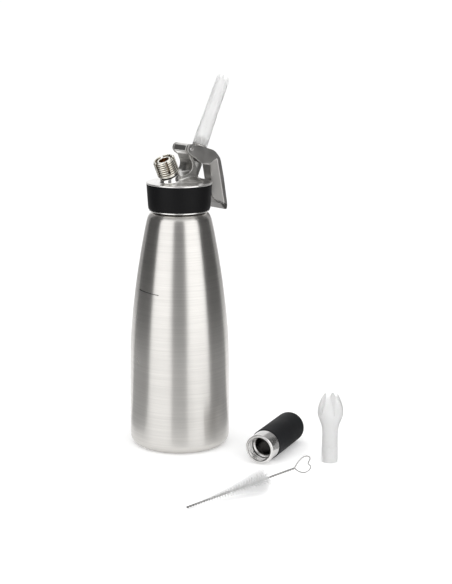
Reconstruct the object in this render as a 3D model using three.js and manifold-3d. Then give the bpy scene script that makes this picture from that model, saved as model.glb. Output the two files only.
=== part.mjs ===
// A whipped cream dispenser with its loose pieces: a steel bottle, a screwed-on head with a squeeze lever,
// a nozzle valve and a charger connector, two decorating tips, a charger holder and a cleaning brush.
// Millimetres, +Z up. The origin is the centre of the bottle's foot, and the lever swings in the XZ plane.

import * as THREE from "three";
import { mergeVertices } from "three/addons/utils/BufferGeometryUtils.js";
import Module from "manifold-3d";

const wasm = await Module();
wasm.setup();

// Gaps and turns
const seatGap = 0.3;
const overrun = 2;
const fullTurn = 2 * Math.PI;
const quarterTurn = Math.PI / 2;

// Bottle
const bodyRadius = 48.5;
const bottleWall = 1;
const bottleFloor = 1.5;
const footFillet = 9;
const straightTop = 62;
const shoulderTop = 224;
const shoulderTopRadius = 30.7;
const shoulderRound = 5.5;
const neckRadius = 24.6;
const neckLength = 18.5;
const mouthLip = 0.6;
const neckThreadDepth = 0.9;
const neckThreadPitch = 5;
const neckThreadLength = 12;
const neckThreadDrop = 2.5;
// Share of the climb from the straight wall to the shoulder's top, and of the way in from body to top
const shoulderCurveShares = [
  [0, 0],
  [0.173, 0.017],
  [0.321, 0.081],
  [0.469, 0.2],
  [0.617, 0.369],
  [0.765, 0.579],
  [0.907, 0.815],
  [1, 1],
];

// Head: gasket, cap and grip
const gasketThickness = 2.4;
const gasketInnerRadius = 21.5;
const skirtWall = 1.5;
const skirtThreadGap = 0.4;
const skirtThreadDepth = 0.7;
const skirtThreadLength = 10;
const skirtDrop = 19.8;
const lipHeight = 1.5;
const lipRadius = 29.2;
const rimThickness = 1.8;
const rimRadius = 32;
const rimRound = 0.85;
const moundX = 5.5;
const moundRadius = 23;
const moundShoulderRadius = 11;
const moundShoulderRise = 4.9;
const moundRise = 5.8;
const discThickness = 7.8;
const recessRadius = 20;
const recessDepth = 3;
const gripBottomRadius = 29.9;
const gripTopRadius = 31.4;
const gripRound = 2.2;

// Lever pivot and the tower that carries it
const pivotX = 5.8;
const pivotHeight = 31.6;
const pinRadius = 1.7;
const pinDome = 0.5;
const knuckleRadius = 4.8;
const towerHalfWidth = 8.4;
const footHalfWidth = 9.6;
const scoopRadius = 7.9;
// Places on the tower from the pivot, as shares of the pivot's height above the disc
const scoopCentreShare = [-0.155, -0.487];
const toeShares = [
  [-0.38, -1.06],
  [-0.38, -0.845],
  [-0.335, -0.8],
];
const towerBackShares = [
  [0.142, -0.02],
  [0.142, -0.234],
  [0.165, -0.316],
  [0.26, -0.645],
  [0.26, -1.06],
];
const footBackShares = [
  [0.18, -0.383],
  [0.26, -0.645],
  [0.26, -1.06],
];
const scoopStart = THREE.MathUtils.degToRad(-70);
const scoopEnd = THREE.MathUtils.degToRad(40);
const footScoopEnd = THREE.MathUtils.degToRad(25);

// Valve: its axis leans away from the pivot, and heights are along it from the foot of the pivot's arm
const valveLean = THREE.MathUtils.degToRad(26.3);
const valveArm = 17.8;
const pressTravel = 1.87;
const flangeRadius = 7.8;
const flangeThickness = 2.2;
const lugRadius = 1.6;
const adaptorNeckRadius = 4.7;
const adaptorCollarRadius = 6.9;
const adaptorCollarHeight = 3.2;
const adaptorNeckLength = 8.5;
const adaptorStubRadius = 5;
const adaptorStubLength = 7.2;
const adaptorThreadDepth = 0.4;
const adaptorThreadPitch = 2.4;
const adaptorBore = 2.6;
const housingRadius = 8.4;
const housingChamfer = 0.8;
const innerBossRadius = 5.8;
const innerBossLength = 6;
const seatDrop = 2.86;
const springBoreRadius = 6.2;
const springBoreDepth = 12;
const chamberRadius = 4.6;
const chamberDepth = 3;
const stemRadius = 3.2;
const stemBore = 1.2;
const stemPortRadius = 0.8;
const stemOverlap = 6.1;
const stemKnobHeight = 1.5;
const sealThickness = 2.3;
const sealRadius = 5.6;
const ringGrooveRadius = 2.1;
const ringGrooveLength = 1.6;
const ringSectionRadius = 0.5;
const ringCentreRadius = 2.8;
const lowerRingRise = 6;
const upperRingRise = 12;
const springWireRadius = 0.5;
const springMeanRadius = 4.9;
const springTurns = 5;

// Lever
const leverHalfWidth = 11.1;
const cheekThickness = 2.4;
const leverReach = 47.2;
const leverDrop = 62.8;
const bridgeStart = 27.4;
const handleEdgeHalfWidth = 4.5;
// Outline of the lever seen from the side, from the pivot, as shares of its reach and of its drop
const leverOutlineShares = [
  [-0.02, 0.073, 0],
  [0.18, 0.049, 8],
  [0.42, -0.005, 10],
  [0.65, -0.062, 16],
  [0.8, -0.19, 12],
  [0.895, -0.484, 60],
  [1, -0.922, 60],
  [0.985, -0.995, 3],
  [0.925, -1, 3],
  [0.8, -0.895, 5],
  [0.7, -0.78, 8],
  [0.655, -0.516, 40],
  [0.62, -0.285, 3],
  [0.535, -0.242, 4],
  [0.29, -0.242, 3],
  [0.125, -0.155, 6],
  [-0.06, -0.068, 0],
];
// Corners of the slanted side of the handle: near the outer flange, then at the inner edge
const flangeLineShares = [
  [0.71, -0.17],
  [0.93, -0.93],
];
const edgeLineShares = [
  [0.6, -0.285],
  [0.715, -0.83],
];
const slantTopLiftShare = 0.05;

// Charger connector: its axis leans the other way, and depths are along it from its top face
const chargerLean = THREE.MathUtils.degToRad(24);
const chargerFootX = -9.4;
const connectorReach = 25.8;
const connectorRadius = 9.9;
const connectorThreadDepth = 0.8;
const connectorThreadPitch = 2.1;
const connectorThreadLength = 15.2;
const connectorHeadLength = 16.5;
const connectorChamfer = 0.6;
const collarBore = 8.3;
const collarGrooveDepth = 14;
const postRadius = 6.6;
const postBore = 4.9;
const postDrop = 1;
const postDepth = 13.5;
const slotCount = 6;
const slotWidth = 2.2;
const slotDepth = 12.5;
const shankRadius = 5.2;
const shankDepth = 31;
const nippleRadius = 2.6;
const nippleDepth = 36.2;
const gasPassage = 1.2;
const washerThickness = 1;
const washerRadius = 8.4;
const pedestalRadius = 9.2;
const pedestalX = -12;
const piercerThickness = 3.7;
const needleRadius = 0.9;
const needleLength = 4;
const chargerSealThickness = 1.6;
const sleeveWall = 1.2;
const sleeveFloor = 0.8;

// Straight tip
const tipLength = 72.6;
const tipBaseRadius = 7.2;
const tipRingHeight = 17;
const tipRingRadius = 7.1;
const tipEndRadius = 6.3;
const tipWall = 1.3;
const tipSocketDepth = 9;
const crownPoints = 8;
const crownDepth = 7;
const crownNotchHalfWidth = 2.4;

// Tulip tip
const tulipPlace = [64.6, -142.1];
const tulipHeight = 65.8;
const tulipTubeRadius = 7.5;
const tulipTubeTop = 31;
const tulipBellyHeight = 48;
const tulipBellyRadius = 11.9;
const tulipMouthRadius = 5.2;
const tulipWall = 1.2;
const tulipPetals = 6;
const tulipSlitDepth = 17;
const tulipSlitHalfWidth = 2.2;
const tulipTurn = THREE.MathUtils.degToRad(-90.5);

// Charger holder, lying on its side
const holderPlace = [7.1, -105];
const holderTurn = THREE.MathUtils.degToRad(23);
const holderRadius = 14;
const holderChamfer = 1;
const holderCollarLength = 16;
const holderThreadBore = 11.8;
const holderThreadLength = 12;
const holderThreadDepth = 0.7;
const holderBodyRadius = 13;
const holderBodyLength = 81.5;
const holderEndRound = 5;
const chargerBore = 9.4;
const chargerBoreDepth = 77.5;
const gripWall = 1.6;
const gripEndWall = 2;
const gripEndRound = 8;

// Cleaning brush, leaning on the wide end of its bristles
const brushPlace = [-119.4, -146.5];
const brushTurn = THREE.MathUtils.degToRad(-10);
const brushFloorGap = 0.2;
const bristleTipRadius = 1.6;
const bristleEndRadius = 11.8;
const bristleLength = 82;
const bristleRows = 150;
const bristleRadius = 0.22;
const coreRadius = 0.9;
const coreLead = 1.5;
const wireRadius = 0.75;
const twistPitch = 5.5;
const twistLength = 33;
const loopLength = 17.4;
const loopHalfWidth = 7.6;
// Half of the heart loop: share of its length, share of its half width
const loopShares = [
  [0, 0.1],
  [0.26, 0.66],
  [0.58, 1],
  [0.88, 0.9],
  [1, 0.5],
  [0.86, 0.04],
];

// Sides of the round pieces
const bottleSides = 32;
const headSides = 32;
const bossSides = 20;
const smallSides = 12;
const holderSides = 24;
const coreSides = 8;
const threadRows = 3;
const springSteps = 8;
const twistSteps = 6;

// Heights and radii that follow from the sizes above
const neckFoot = shoulderTop + shoulderRound;
const mouthHeight = neckFoot + neckLength;
const discUnderside = mouthHeight + seatGap + gasketThickness + seatGap;
const discTop = discUnderside + discThickness;
const skirtBore = neckRadius + neckThreadDepth + skirtThreadGap + skirtThreadDepth;
const skirtRadius = skirtBore + skirtWall;
const skirtBottom = discUnderside - skirtDrop;
const rimBottom = discTop - rimThickness;
const gripBottom = skirtBottom + lipHeight + seatGap;
const gripTop = rimBottom - seatGap;
const pivotZ = discTop + pivotHeight;
const cheekInside = leverHalfWidth - cheekThickness;
const valveFoot = new THREE.Vector3(
  pivotX + valveArm * Math.cos(valveLean),
  0,
  pivotZ - valveArm * Math.sin(valveLean),
);
const valveFrame = leaningFrame(valveFoot, valveLean);
const recessTop = discUnderside + recessDepth;
const seatDepth = (valveFoot.z - recessTop + seatDrop) / Math.cos(valveLean);
const chargerTop = new THREE.Vector3(
  chargerFootX - connectorReach * Math.sin(chargerLean),
  0,
  discTop + connectorReach * Math.cos(chargerLean),
);
const chargerFrame = leaningFrame(chargerTop, -chargerLean);

// Heights along the valve's axis
const flangeTop = -lugRadius - seatGap;
const flangeBottom = flangeTop - flangeThickness;
const housingTop = flangeBottom - pressTravel - 2 * seatGap;
const springBoreFloor = housingTop - springBoreDepth;
const collarBottom = flangeTop + adaptorNeckLength;
const collarTop = collarBottom + adaptorCollarHeight;
const tipSeat = collarTop + seatGap;
const stemTop = flangeBottom + stemOverlap;
const guideBore = stemRadius + seatGap;
const sealTop = -seatDepth - seatGap;
const knobTop = sealTop - sealThickness - seatGap;
const knobBottom = knobTop - stemKnobHeight;
const portHeight = -seatDepth + chamberDepth / 2;
const lowerRingDepth = seatDepth - lowerRingRise;
const upperRingDepth = seatDepth - upperRingRise;

// Depths along the charger connector's axis, as negative heights
const washerTop = -connectorHeadLength - seatGap;
const pedestalTop = washerTop - washerThickness - seatGap;
const piercerBottom = -postDepth + seatGap;
const piercerTop = piercerBottom + piercerThickness;
const chargerSealBottom = piercerTop + seatGap;
const sleeveTop = -shankDepth - seatGap;

// A frame whose own +Z leans by an angle from the vertical towards +X
function leaningFrame(place, lean) {
  const frame = new THREE.Matrix4().makeRotationY(lean);
  return frame.setPosition(place);
}

// Six times the volume inside an indexed mesh, positive when its faces point out
function signedVolume(position, index) {
  const corners = [new THREE.Vector3(), new THREE.Vector3(), new THREE.Vector3()];
  let sum = 0;
  for (let i = 0; i < index.length; i += 3) {
    corners.forEach((corner, k) => corner.fromBufferAttribute(position, index[i + k]));
    sum += corners[0].dot(corners[1].cross(corners[2]));
  }
  return sum;
}

// A closed geometry as a solid: shared corners merged, collapsed triangles dropped, faces turned outwards
function toSolid(geometry) {
  const loose = geometry.index ? geometry.toNonIndexed() : geometry.clone();
  loose.deleteAttribute("normal");
  loose.deleteAttribute("uv");
  const merged = mergeVertices(loose);
  const kept = [];
  for (let i = 0; i < merged.index.count; i += 3) {
    const [a, b, c] = [0, 1, 2].map((k) => merged.index.getX(i + k));
    if (a !== b && b !== c && c !== a) kept.push(a, b, c);
  }
  if (signedVolume(merged.attributes.position, kept) < 0) kept.reverse();
  return new wasm.Manifold(
    new wasm.Mesh({
      numProp: 3,
      vertProperties: merged.attributes.position.array,
      triVerts: new Uint32Array(kept),
    }),
  );
}

function toGeometry(made) {
  const mesh = made.getMesh();
  return new THREE.BufferGeometry()
    .setAttribute("position", new THREE.BufferAttribute(mesh.vertProperties, 3))
    .setIndex(new THREE.BufferAttribute(mesh.triVerts, 1));
}

function join(...geometries) {
  return toGeometry(geometries.map(toSolid).reduce((all, next) => all.add(next)));
}

function cut(geometry, ...tools) {
  return toGeometry(tools.map(toSolid).reduce((rest, tool) => rest.subtract(tool), toSolid(geometry)));
}

// Points on an arc, both ends included
function arc(centreX, centreY, radius, from, to, steps) {
  return Array.from({ length: steps + 1 }, (_, i) => {
    const angle = from + ((to - from) * i) / steps;
    return [centreX + radius * Math.cos(angle), centreY + radius * Math.sin(angle)];
  });
}

// A smooth line through points, as a list of points
function smooth(points, steps) {
  const curve = new THREE.SplineCurve(points.map(([x, y]) => new THREE.Vector2(x, y)));
  return curve.getPoints(steps).map((point) => [point.x, point.y]);
}

// A solid of revolution about Z. An outline that is off the axis closes on itself.
function turned(outline, sides) {
  const points = outline.map(([radius, height]) => new THREE.Vector2(radius, height));
  if (points[0].x > 0) points.push(points[0].clone());
  return new THREE.LatheGeometry(points, sides).rotateX(quarterTurn);
}

function post(radius, from, to, sides) {
  const outline = [
    [0, from],
    [radius, from],
    [radius, to],
    [0, to],
  ];
  return turned(outline, sides);
}

function ring(inner, outer, from, to, sides) {
  const outline = [
    [inner, from],
    [outer, from],
    [outer, to],
    [inner, to],
  ];
  return turned(outline, sides);
}

// A sleeve with a helical thread on one face: its thread stands off the root by depth, outwards or inwards,
// and its plain face is buried in the wall that carries it.
function threadSleeve({ root, depth, buried, pitch, from, length, sides }) {
  const rows = Math.round((length / pitch) * threadRows);
  const positions = [];
  const index = [];
  for (let row = 0; row <= rows; row += 1) {
    const height = from + (length * row) / rows;
    const fade = row === 0 || row === rows ? 0 : 1;
    for (let side = 0; side < sides; side += 1) {
      const angle = (fullTurn * side) / sides;
      const phase = (height - from) / pitch - side / sides;
      const wave = Math.abs(2 * (phase - Math.floor(phase)) - 1);
      const crest = THREE.MathUtils.clamp(2 * wave - 0.5, 0, 1) * fade;
      const radius = root + depth * crest;
      positions.push(radius * Math.cos(angle), radius * Math.sin(angle), height);
    }
  }
  for (const row of [0, rows]) {
    for (let side = 0; side < sides; side += 1) {
      const angle = (fullTurn * side) / sides;
      const height = from + (length * row) / rows;
      positions.push(buried * Math.cos(angle), buried * Math.sin(angle), height);
    }
  }
  const order = Array.from({ length: rows + 1 }, (_, i) => i);
  order.push(rows + 2, rows + 1, 0);
  for (let k = 0; k + 1 < order.length; k += 1) {
    for (let side = 0; side < sides; side += 1) {
      const next = (side + 1) % sides;
      const a = order[k] * sides + side;
      const b = order[k] * sides + next;
      const c = order[k + 1] * sides + next;
      const d = order[k + 1] * sides + side;
      index.push(a, b, c, a, c, d);
    }
  }
  return new THREE.BufferGeometry()
    .setAttribute("position", new THREE.Float32BufferAttribute(positions, 3))
    .setIndex(index);
}

// A plate with an XZ outline between two values of Y
function plate(outline, low, high) {
  const shape = new THREE.Shape(outline.map(([x, z]) => new THREE.Vector2(x, z)));
  const geometry = new THREE.ExtrudeGeometry(shape, { depth: high - low, bevelEnabled: false, steps: 1 });
  return geometry.rotateX(quarterTurn).translate(0, high, 0);
}

// A round bar along Y at a place in XZ
function crossBar(radius, low, high, x, z, sides) {
  return new THREE.CylinderGeometry(radius, radius, high - low, sides).translate(x, (low + high) / 2, z);
}

function block(lengthX, lengthY, low, high) {
  return new THREE.BoxGeometry(lengthX, lengthY, high - low).translate(0, 0, (low + high) / 2);
}

// A polygon's corners rounded to their own radii, each limited to the edges beside it
function rounded(corners, steps) {
  return corners.flatMap(([x, y, radius], i) => {
    if (radius === 0) return [[x, y]];
    const here = new THREE.Vector2(x, y);
    const before = new THREE.Vector2(...corners.at(i - 1).slice(0, 2)).sub(here);
    const after = new THREE.Vector2(...corners[(i + 1) % corners.length].slice(0, 2)).sub(here);
    const half = before.angleTo(after) / 2;
    const reach = Math.min(radius / Math.tan(half), before.length() / 2, after.length() / 2);
    const start = here.clone().add(before.setLength(reach));
    const end = here.clone().add(after.setLength(reach));
    const curve = new THREE.QuadraticBezierCurve(start, here, end);
    return curve.getPoints(steps).map((point) => [point.x, point.y]);
  });
}

// A six-sided solid from four corners of one face and the four behind them
function wedge(front, back) {
  const faces = [
    [0, 1, 2, 3],
    [7, 6, 5, 4],
    [4, 5, 1, 0],
    [5, 6, 2, 1],
    [6, 7, 3, 2],
    [7, 4, 0, 3],
  ];
  return new THREE.BufferGeometry()
    .setAttribute("position", new THREE.Float32BufferAttribute([...front, ...back].flat(), 3))
    .setIndex(faces.flatMap(([a, b, c, d]) => [a, b, c, a, c, d]));
}

// A triangular bar across the axis that cuts one V notch on each side of a tube's end
function notchBar(halfWidth, depth, reach, top) {
  const shape = new THREE.Shape([
    new THREE.Vector2(0, -depth),
    new THREE.Vector2(halfWidth, 0),
    new THREE.Vector2(halfWidth, overrun),
    new THREE.Vector2(-halfWidth, overrun),
    new THREE.Vector2(-halfWidth, 0),
  ]);
  const geometry = new THREE.ExtrudeGeometry(shape, { depth: 2 * reach, bevelEnabled: false, steps: 1 });
  return geometry.rotateX(quarterTurn).translate(0, reach, top);
}

function bottleShell() {
  const climb = shoulderTop - straightTop;
  const drawIn = bodyRadius - shoulderTopRadius;
  const wallCurve = shoulderCurveShares.map(([up, inward]) => [
    bodyRadius - drawIn * inward,
    straightTop + climb * up,
  ]);
  const shoulderTurn = new THREE.QuadraticBezierCurve(
    new THREE.Vector2(shoulderTopRadius, shoulderTop),
    new THREE.Vector2(shoulderTopRadius - (neckFoot - shoulderTop) / 2, neckFoot),
    new THREE.Vector2(neckRadius, neckFoot),
  );
  const turnPoints = shoulderTurn.getPoints(4).map((point) => [point.x, point.y]);
  const innerFillet = footFillet - bottleWall;
  const outer = [
    [0, 0],
    ...arc(bodyRadius - footFillet, footFillet, footFillet, -quarterTurn, 0, 6),
    ...smooth(wallCurve, 9),
    ...turnPoints.slice(1),
    [neckRadius, mouthHeight - mouthLip],
    [neckRadius - mouthLip, mouthHeight],
  ];
  const inner = [
    [neckRadius - 2 * bottleWall, mouthHeight],
    [neckRadius - 2 * bottleWall, neckFoot - bottleWall],
    ...smooth(wallCurve, 6)
      .slice(0, -1)
      .reverse()
      .map(([radius, height]) => [radius - bottleWall, height]),
    ...arc(bodyRadius - footFillet, bottleFloor + innerFillet, innerFillet, 0, -quarterTurn, 4),
    [0, bottleFloor],
  ];
  const thread = threadSleeve({
    root: neckRadius,
    depth: neckThreadDepth,
    buried: neckRadius - bottleWall,
    pitch: neckThreadPitch,
    from: mouthHeight - neckThreadDrop - neckThreadLength,
    length: neckThreadLength,
    sides: bottleSides,
  });
  return join(turned([...outer, ...inner], bottleSides), thread);
}

function headGasket() {
  const bottom = mouthHeight + seatGap;
  return ring(gasketInnerRadius, neckRadius, bottom, bottom + gasketThickness, headSides);
}

function capShell() {
  const outline = [
    [0, recessTop],
    [recessRadius, recessTop],
    [recessRadius, discUnderside],
    [skirtBore, discUnderside],
    [skirtBore, skirtBottom],
    [lipRadius, skirtBottom],
    [lipRadius, skirtBottom + lipHeight],
    [skirtRadius, skirtBottom + lipHeight],
    [skirtRadius, rimBottom],
    ...arc(rimRadius - rimRound, rimBottom + rimRound, rimRound, -quarterTurn, 0, 3),
    ...arc(rimRadius - rimRound, discTop - rimRound, rimRound, 0, quarterTurn, 3),
    [0, discTop],
  ];
  return turned(outline, headSides);
}

function skirtThread() {
  return threadSleeve({
    root: skirtBore,
    depth: -skirtThreadDepth,
    buried: skirtBore + skirtWall / 2,
    pitch: neckThreadPitch,
    from: skirtBottom + neckThreadDrop,
    length: skirtThreadLength,
    sides: headSides,
  });
}

// The boss that holds the nozzle valve: wide above the disc and narrow inside the neck
function valveHousing() {
  const outline = [
    [0, -seatDepth],
    [innerBossRadius, -seatDepth],
    [innerBossRadius, -seatDepth + innerBossLength],
    [housingRadius, -seatDepth + innerBossLength],
    [housingRadius, housingTop - housingChamfer],
    [housingRadius - housingChamfer, housingTop],
    [0, housingTop],
  ];
  return turned(outline, bossSides).applyMatrix4(valveFrame);
}

function valveBores() {
  const outline = [
    [0, -seatDepth - overrun],
    [chamberRadius, -seatDepth - overrun],
    [chamberRadius, -seatDepth + chamberDepth],
    [guideBore, -seatDepth + chamberDepth],
    [guideBore, springBoreFloor],
    [springBoreRadius, springBoreFloor],
    [springBoreRadius, housingTop + overrun],
    [0, housingTop + overrun],
  ];
  return turned(outline, bossSides).applyMatrix4(valveFrame);
}

// A place on the tower from the pivot, in shares of the pivot's height
function towerPoint([shareX, shareZ]) {
  return [pivotX + pivotHeight * shareX, pivotZ + pivotHeight * shareZ];
}

function tower() {
  const [scoopX, scoopZ] = towerPoint(scoopCentreShare);
  const toe = toeShares.map(towerPoint);
  const knuckleSide = Math.atan2(scoopZ - pivotZ, scoopX - pivotX);
  const knuckleTouch = [
    pivotX + knuckleRadius * Math.cos(knuckleSide),
    pivotZ + knuckleRadius * Math.sin(knuckleSide),
  ];
  const column = [
    ...toe,
    ...arc(scoopX, scoopZ, scoopRadius, scoopStart, scoopEnd, 8),
    knuckleTouch,
    ...towerBackShares.map(towerPoint),
  ];
  const foot = [
    ...toe,
    ...arc(scoopX, scoopZ, scoopRadius, scoopStart, footScoopEnd, 7),
    ...footBackShares.map(towerPoint),
  ];
  return join(
    plate(column, -towerHalfWidth, towerHalfWidth),
    plate(foot, -footHalfWidth, footHalfWidth),
    crossBar(knuckleRadius, -towerHalfWidth, towerHalfWidth, pivotX, pivotZ, bossSides),
  );
}

// The low cone that the tower stands on
function towerMound() {
  const outline = [
    [0, discTop - rimRound],
    [moundRadius, discTop - rimRound],
    [moundRadius, discTop],
    [moundShoulderRadius, discTop + moundShoulderRise],
    [0, discTop + moundRise],
  ];
  return turned(outline, headSides).translate(moundX, 0, 0);
}

// The pedestal under the charger connector, cut off square to the connector's axis
function pedestal() {
  const base = post(pedestalRadius, discTop - rimThickness, chargerTop.z, bossSides);
  const side = 4 * pedestalRadius;
  const above = block(side, side, pedestalTop, connectorReach).applyMatrix4(chargerFrame);
  return cut(base.translate(pedestalX, 0, 0), above);
}

function headCap() {
  const body = join(capShell(), skirtThread(), valveHousing(), towerMound(), tower(), pedestal());
  const pinBore = crossBar(
    pinRadius + seatGap,
    -towerHalfWidth - overrun,
    towerHalfWidth + overrun,
    pivotX,
    pivotZ,
    smallSides,
  );
  const connectorBore = post(shankRadius + seatGap, -shankDepth - overrun, 0, bossSides);
  return cut(body, valveBores(), pinBore, connectorBore.applyMatrix4(chargerFrame));
}

function collarGrip() {
  const outline = [
    [skirtRadius + seatGap, gripBottom],
    ...arc(gripBottomRadius - gripRound, gripBottom + gripRound, gripRound, -quarterTurn / 2, 0, 3),
    [gripTopRadius, gripTop],
    [skirtRadius + seatGap, gripTop],
  ];
  return turned(outline, headSides);
}

function pivotPin() {
  const reach = leverHalfWidth;
  const half = [
    [0, -reach - pinDome],
    [pinRadius - pinDome, -reach - pinDome],
    [pinRadius, -reach],
    [pinRadius, reach],
    [pinRadius - pinDome, reach + pinDome],
    [0, reach + pinDome],
  ];
  return turned(half, smallSides).rotateX(quarterTurn).translate(pivotX, 0, pivotZ);
}

function leverPoint([shareReach, shareDrop]) {
  return [pivotX + leverReach * shareReach, pivotZ + leverDrop * shareDrop];
}

// What is cut from one side of the handle to leave a slanted face between its flange and its inner edge
function slantCutter(side) {
  const [flangeTopXZ, flangeBottomXZ] = flangeLineShares.map(leverPoint);
  const [edgeTop, edgeBottom] = edgeLineShares.map(leverPoint);
  const outside = leverHalfWidth + overrun;
  const lift = slantTopLiftShare * leverDrop;
  const corners = (y, edgeY) => [
    [flangeTopXZ[0], side * y, flangeTopXZ[1]],
    [flangeBottomXZ[0], side * y, flangeBottomXZ[1]],
    [edgeBottom[0] - overrun, side * edgeY, edgeBottom[1]],
    [edgeTop[0] - overrun, side * edgeY, edgeTop[1] + lift],
  ];
  return wedge(corners(leverHalfWidth, handleEdgeHalfWidth), corners(outside, outside));
}

function lever() {
  const outline = leverOutlineShares.map(([reach, drop, radius]) => [...leverPoint([reach, drop]), radius]);
  const side = plate(rounded(outline, 4), -leverHalfWidth, leverHalfWidth);
  const eye = crossBar(knuckleRadius, -leverHalfWidth, leverHalfWidth, pivotX, pivotZ, bossSides);
  const channel = plate(
    [
      [pivotX - leverReach, pivotZ - leverDrop / 2],
      [pivotX + bridgeStart, pivotZ - leverDrop / 2],
      [pivotX + bridgeStart, pivotZ + leverDrop],
      [pivotX - leverReach, pivotZ + leverDrop],
    ],
    -cheekInside,
    cheekInside,
  );
  const pinBore = crossBar(
    pinRadius + seatGap,
    -leverHalfWidth - overrun,
    leverHalfWidth + overrun,
    pivotX,
    pivotZ,
    smallSides,
  );
  const yoke = cut(join(side, eye), channel, pinBore, slantCutter(1), slantCutter(-1));
  const lugReach = adaptorNeckRadius + 2 * seatGap;
  const lugs = [1, -1].map((hand) => {
    const ends = [hand * lugReach, hand * (cheekInside + cheekThickness / 2)];
    return crossBar(lugRadius, Math.min(...ends), Math.max(...ends), valveFoot.x, valveFoot.z, smallSides);
  });
  return join(yoke, ...lugs);
}

function nozzleAdaptor() {
  const stubTop = collarTop + adaptorStubLength;
  const outline = [
    [stemRadius + seatGap, flangeBottom],
    [flangeRadius, flangeBottom],
    [flangeRadius, flangeTop],
    [adaptorNeckRadius, flangeTop],
    [adaptorNeckRadius, collarBottom],
    [adaptorCollarRadius, collarBottom],
    [adaptorCollarRadius, collarTop],
    [adaptorStubRadius, collarTop],
    [adaptorStubRadius, stubTop],
    [adaptorBore, stubTop],
    [adaptorBore, stemTop + seatGap],
    [stemRadius + seatGap, stemTop + seatGap],
  ];
  const thread = threadSleeve({
    root: adaptorStubRadius,
    depth: adaptorThreadDepth,
    buried: adaptorStubRadius - adaptorThreadDepth,
    pitch: adaptorThreadPitch,
    from: collarTop + adaptorThreadPitch / 2,
    length: adaptorStubLength - adaptorThreadPitch,
    sides: bossSides,
  });
  return join(turned(outline, bossSides), thread);
}

function valveStem() {
  const groove = (depth) => [
    [stemRadius, -depth - ringGrooveLength / 2],
    [ringGrooveRadius, -depth - ringGrooveLength / 2],
    [ringGrooveRadius, -depth + ringGrooveLength / 2],
    [stemRadius, -depth + ringGrooveLength / 2],
  ];
  const outline = [
    [0, knobBottom],
    [chamberRadius, knobBottom],
    [chamberRadius, knobTop],
    [stemRadius, knobTop],
    ...groove(lowerRingDepth),
    ...groove(upperRingDepth),
    [stemRadius, stemTop],
    [stemBore, stemTop],
    [stemBore, portHeight],
    [0, portHeight],
  ];
  const portReach = stemRadius + overrun;
  const portZ = portHeight + stemPortRadius / 2;
  const port = crossBar(stemPortRadius, -portReach, portReach, 0, portZ, smallSides);
  return cut(turned(outline, smallSides), port);
}

function valveSeal() {
  return ring(stemRadius + seatGap, sealRadius, sealTop - sealThickness, sealTop, smallSides);
}

function stemRing(depth) {
  return turned(arc(ringCentreRadius, -depth, ringSectionRadius, 0, fullTurn, 8).slice(0, -1), smallSides);
}

// One point on the valve spring's centre line, at a share of the way up
function springPoint(share) {
  const low = springBoreFloor + seatGap + springWireRadius;
  const high = flangeBottom - seatGap - springWireRadius;
  const angle = fullTurn * springTurns * share;
  return new THREE.Vector3(
    springMeanRadius * Math.cos(angle),
    springMeanRadius * Math.sin(angle),
    low + (high - low) * share,
  );
}

class SpringCurve extends THREE.Curve {
  getPoint(share, target = new THREE.Vector3()) {
    return target.copy(springPoint(share));
  }
}

// A round bar along a curve
function bar(curve, radius, steps, sides) {
  const points = Array.from({ length: sides }, (_, i) => {
    const angle = (fullTurn * i) / sides;
    return new THREE.Vector2(radius * Math.cos(angle), radius * Math.sin(angle));
  });
  return new THREE.ExtrudeGeometry(new THREE.Shape(points), { extrudePath: curve, steps, curveSegments: 1 });
}

function valveSpring() {
  return bar(new SpringCurve(), springWireRadius, springSteps * springTurns, 5);
}

function chargerConnector() {
  const outline = [
    [collarBore, 0],
    [connectorRadius - connectorChamfer, 0],
    [connectorRadius, -connectorChamfer],
    [connectorRadius, -connectorHeadLength],
    [shankRadius, -connectorHeadLength],
    [shankRadius, -shankDepth],
    [nippleRadius, -shankDepth],
    [nippleRadius, -nippleDepth],
    [gasPassage, -nippleDepth],
    [gasPassage, -postDepth],
    [postBore, -postDepth],
    [postBore, -postDrop],
    [postRadius, -postDrop],
    [postRadius, -collarGrooveDepth],
    [collarBore, -collarGrooveDepth],
  ];
  const thread = threadSleeve({
    root: connectorRadius,
    depth: connectorThreadDepth,
    buried: (connectorRadius + collarBore) / 2,
    pitch: connectorThreadPitch,
    from: -connectorChamfer - connectorThreadLength,
    length: connectorThreadLength,
    sides: holderSides,
  });
  const slotReach = connectorRadius + connectorThreadDepth + overrun;
  const slotInside = (postRadius + collarBore) / 2;
  const slotLength = slotReach - slotInside;
  const slots = Array.from({ length: slotCount }, (_, i) =>
    block(slotLength, slotWidth, -slotDepth, overrun)
      .translate(slotInside + slotLength / 2, 0, 0)
      .rotateZ((fullTurn * i) / slotCount),
  );
  return cut(join(turned(outline, holderSides), thread), ...slots);
}

function connectorWasher() {
  return ring(shankRadius + seatGap, washerRadius, washerTop - washerThickness, washerTop, bossSides);
}

function piercer() {
  const outline = [
    [0, piercerBottom],
    [postBore - seatGap, piercerBottom],
    [postBore - seatGap, piercerTop],
    [needleRadius, piercerTop],
    [needleRadius, piercerTop + needleLength / 2],
    [0, piercerTop + needleLength],
  ];
  return turned(outline, smallSides);
}

function chargerSeal() {
  const top = chargerSealBottom + chargerSealThickness;
  return ring(needleRadius + seatGap, postBore - seatGap, chargerSealBottom, top, smallSides);
}

function checkValveSleeve() {
  const inside = nippleRadius + seatGap;
  const outline = [
    [0, -nippleDepth - seatGap - sleeveFloor],
    [inside + sleeveWall, -nippleDepth - seatGap - sleeveFloor],
    [inside + sleeveWall, sleeveTop],
    [inside, sleeveTop],
    [inside, -nippleDepth - seatGap],
    [0, -nippleDepth - seatGap],
  ];
  return turned(outline, smallSides);
}

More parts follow.
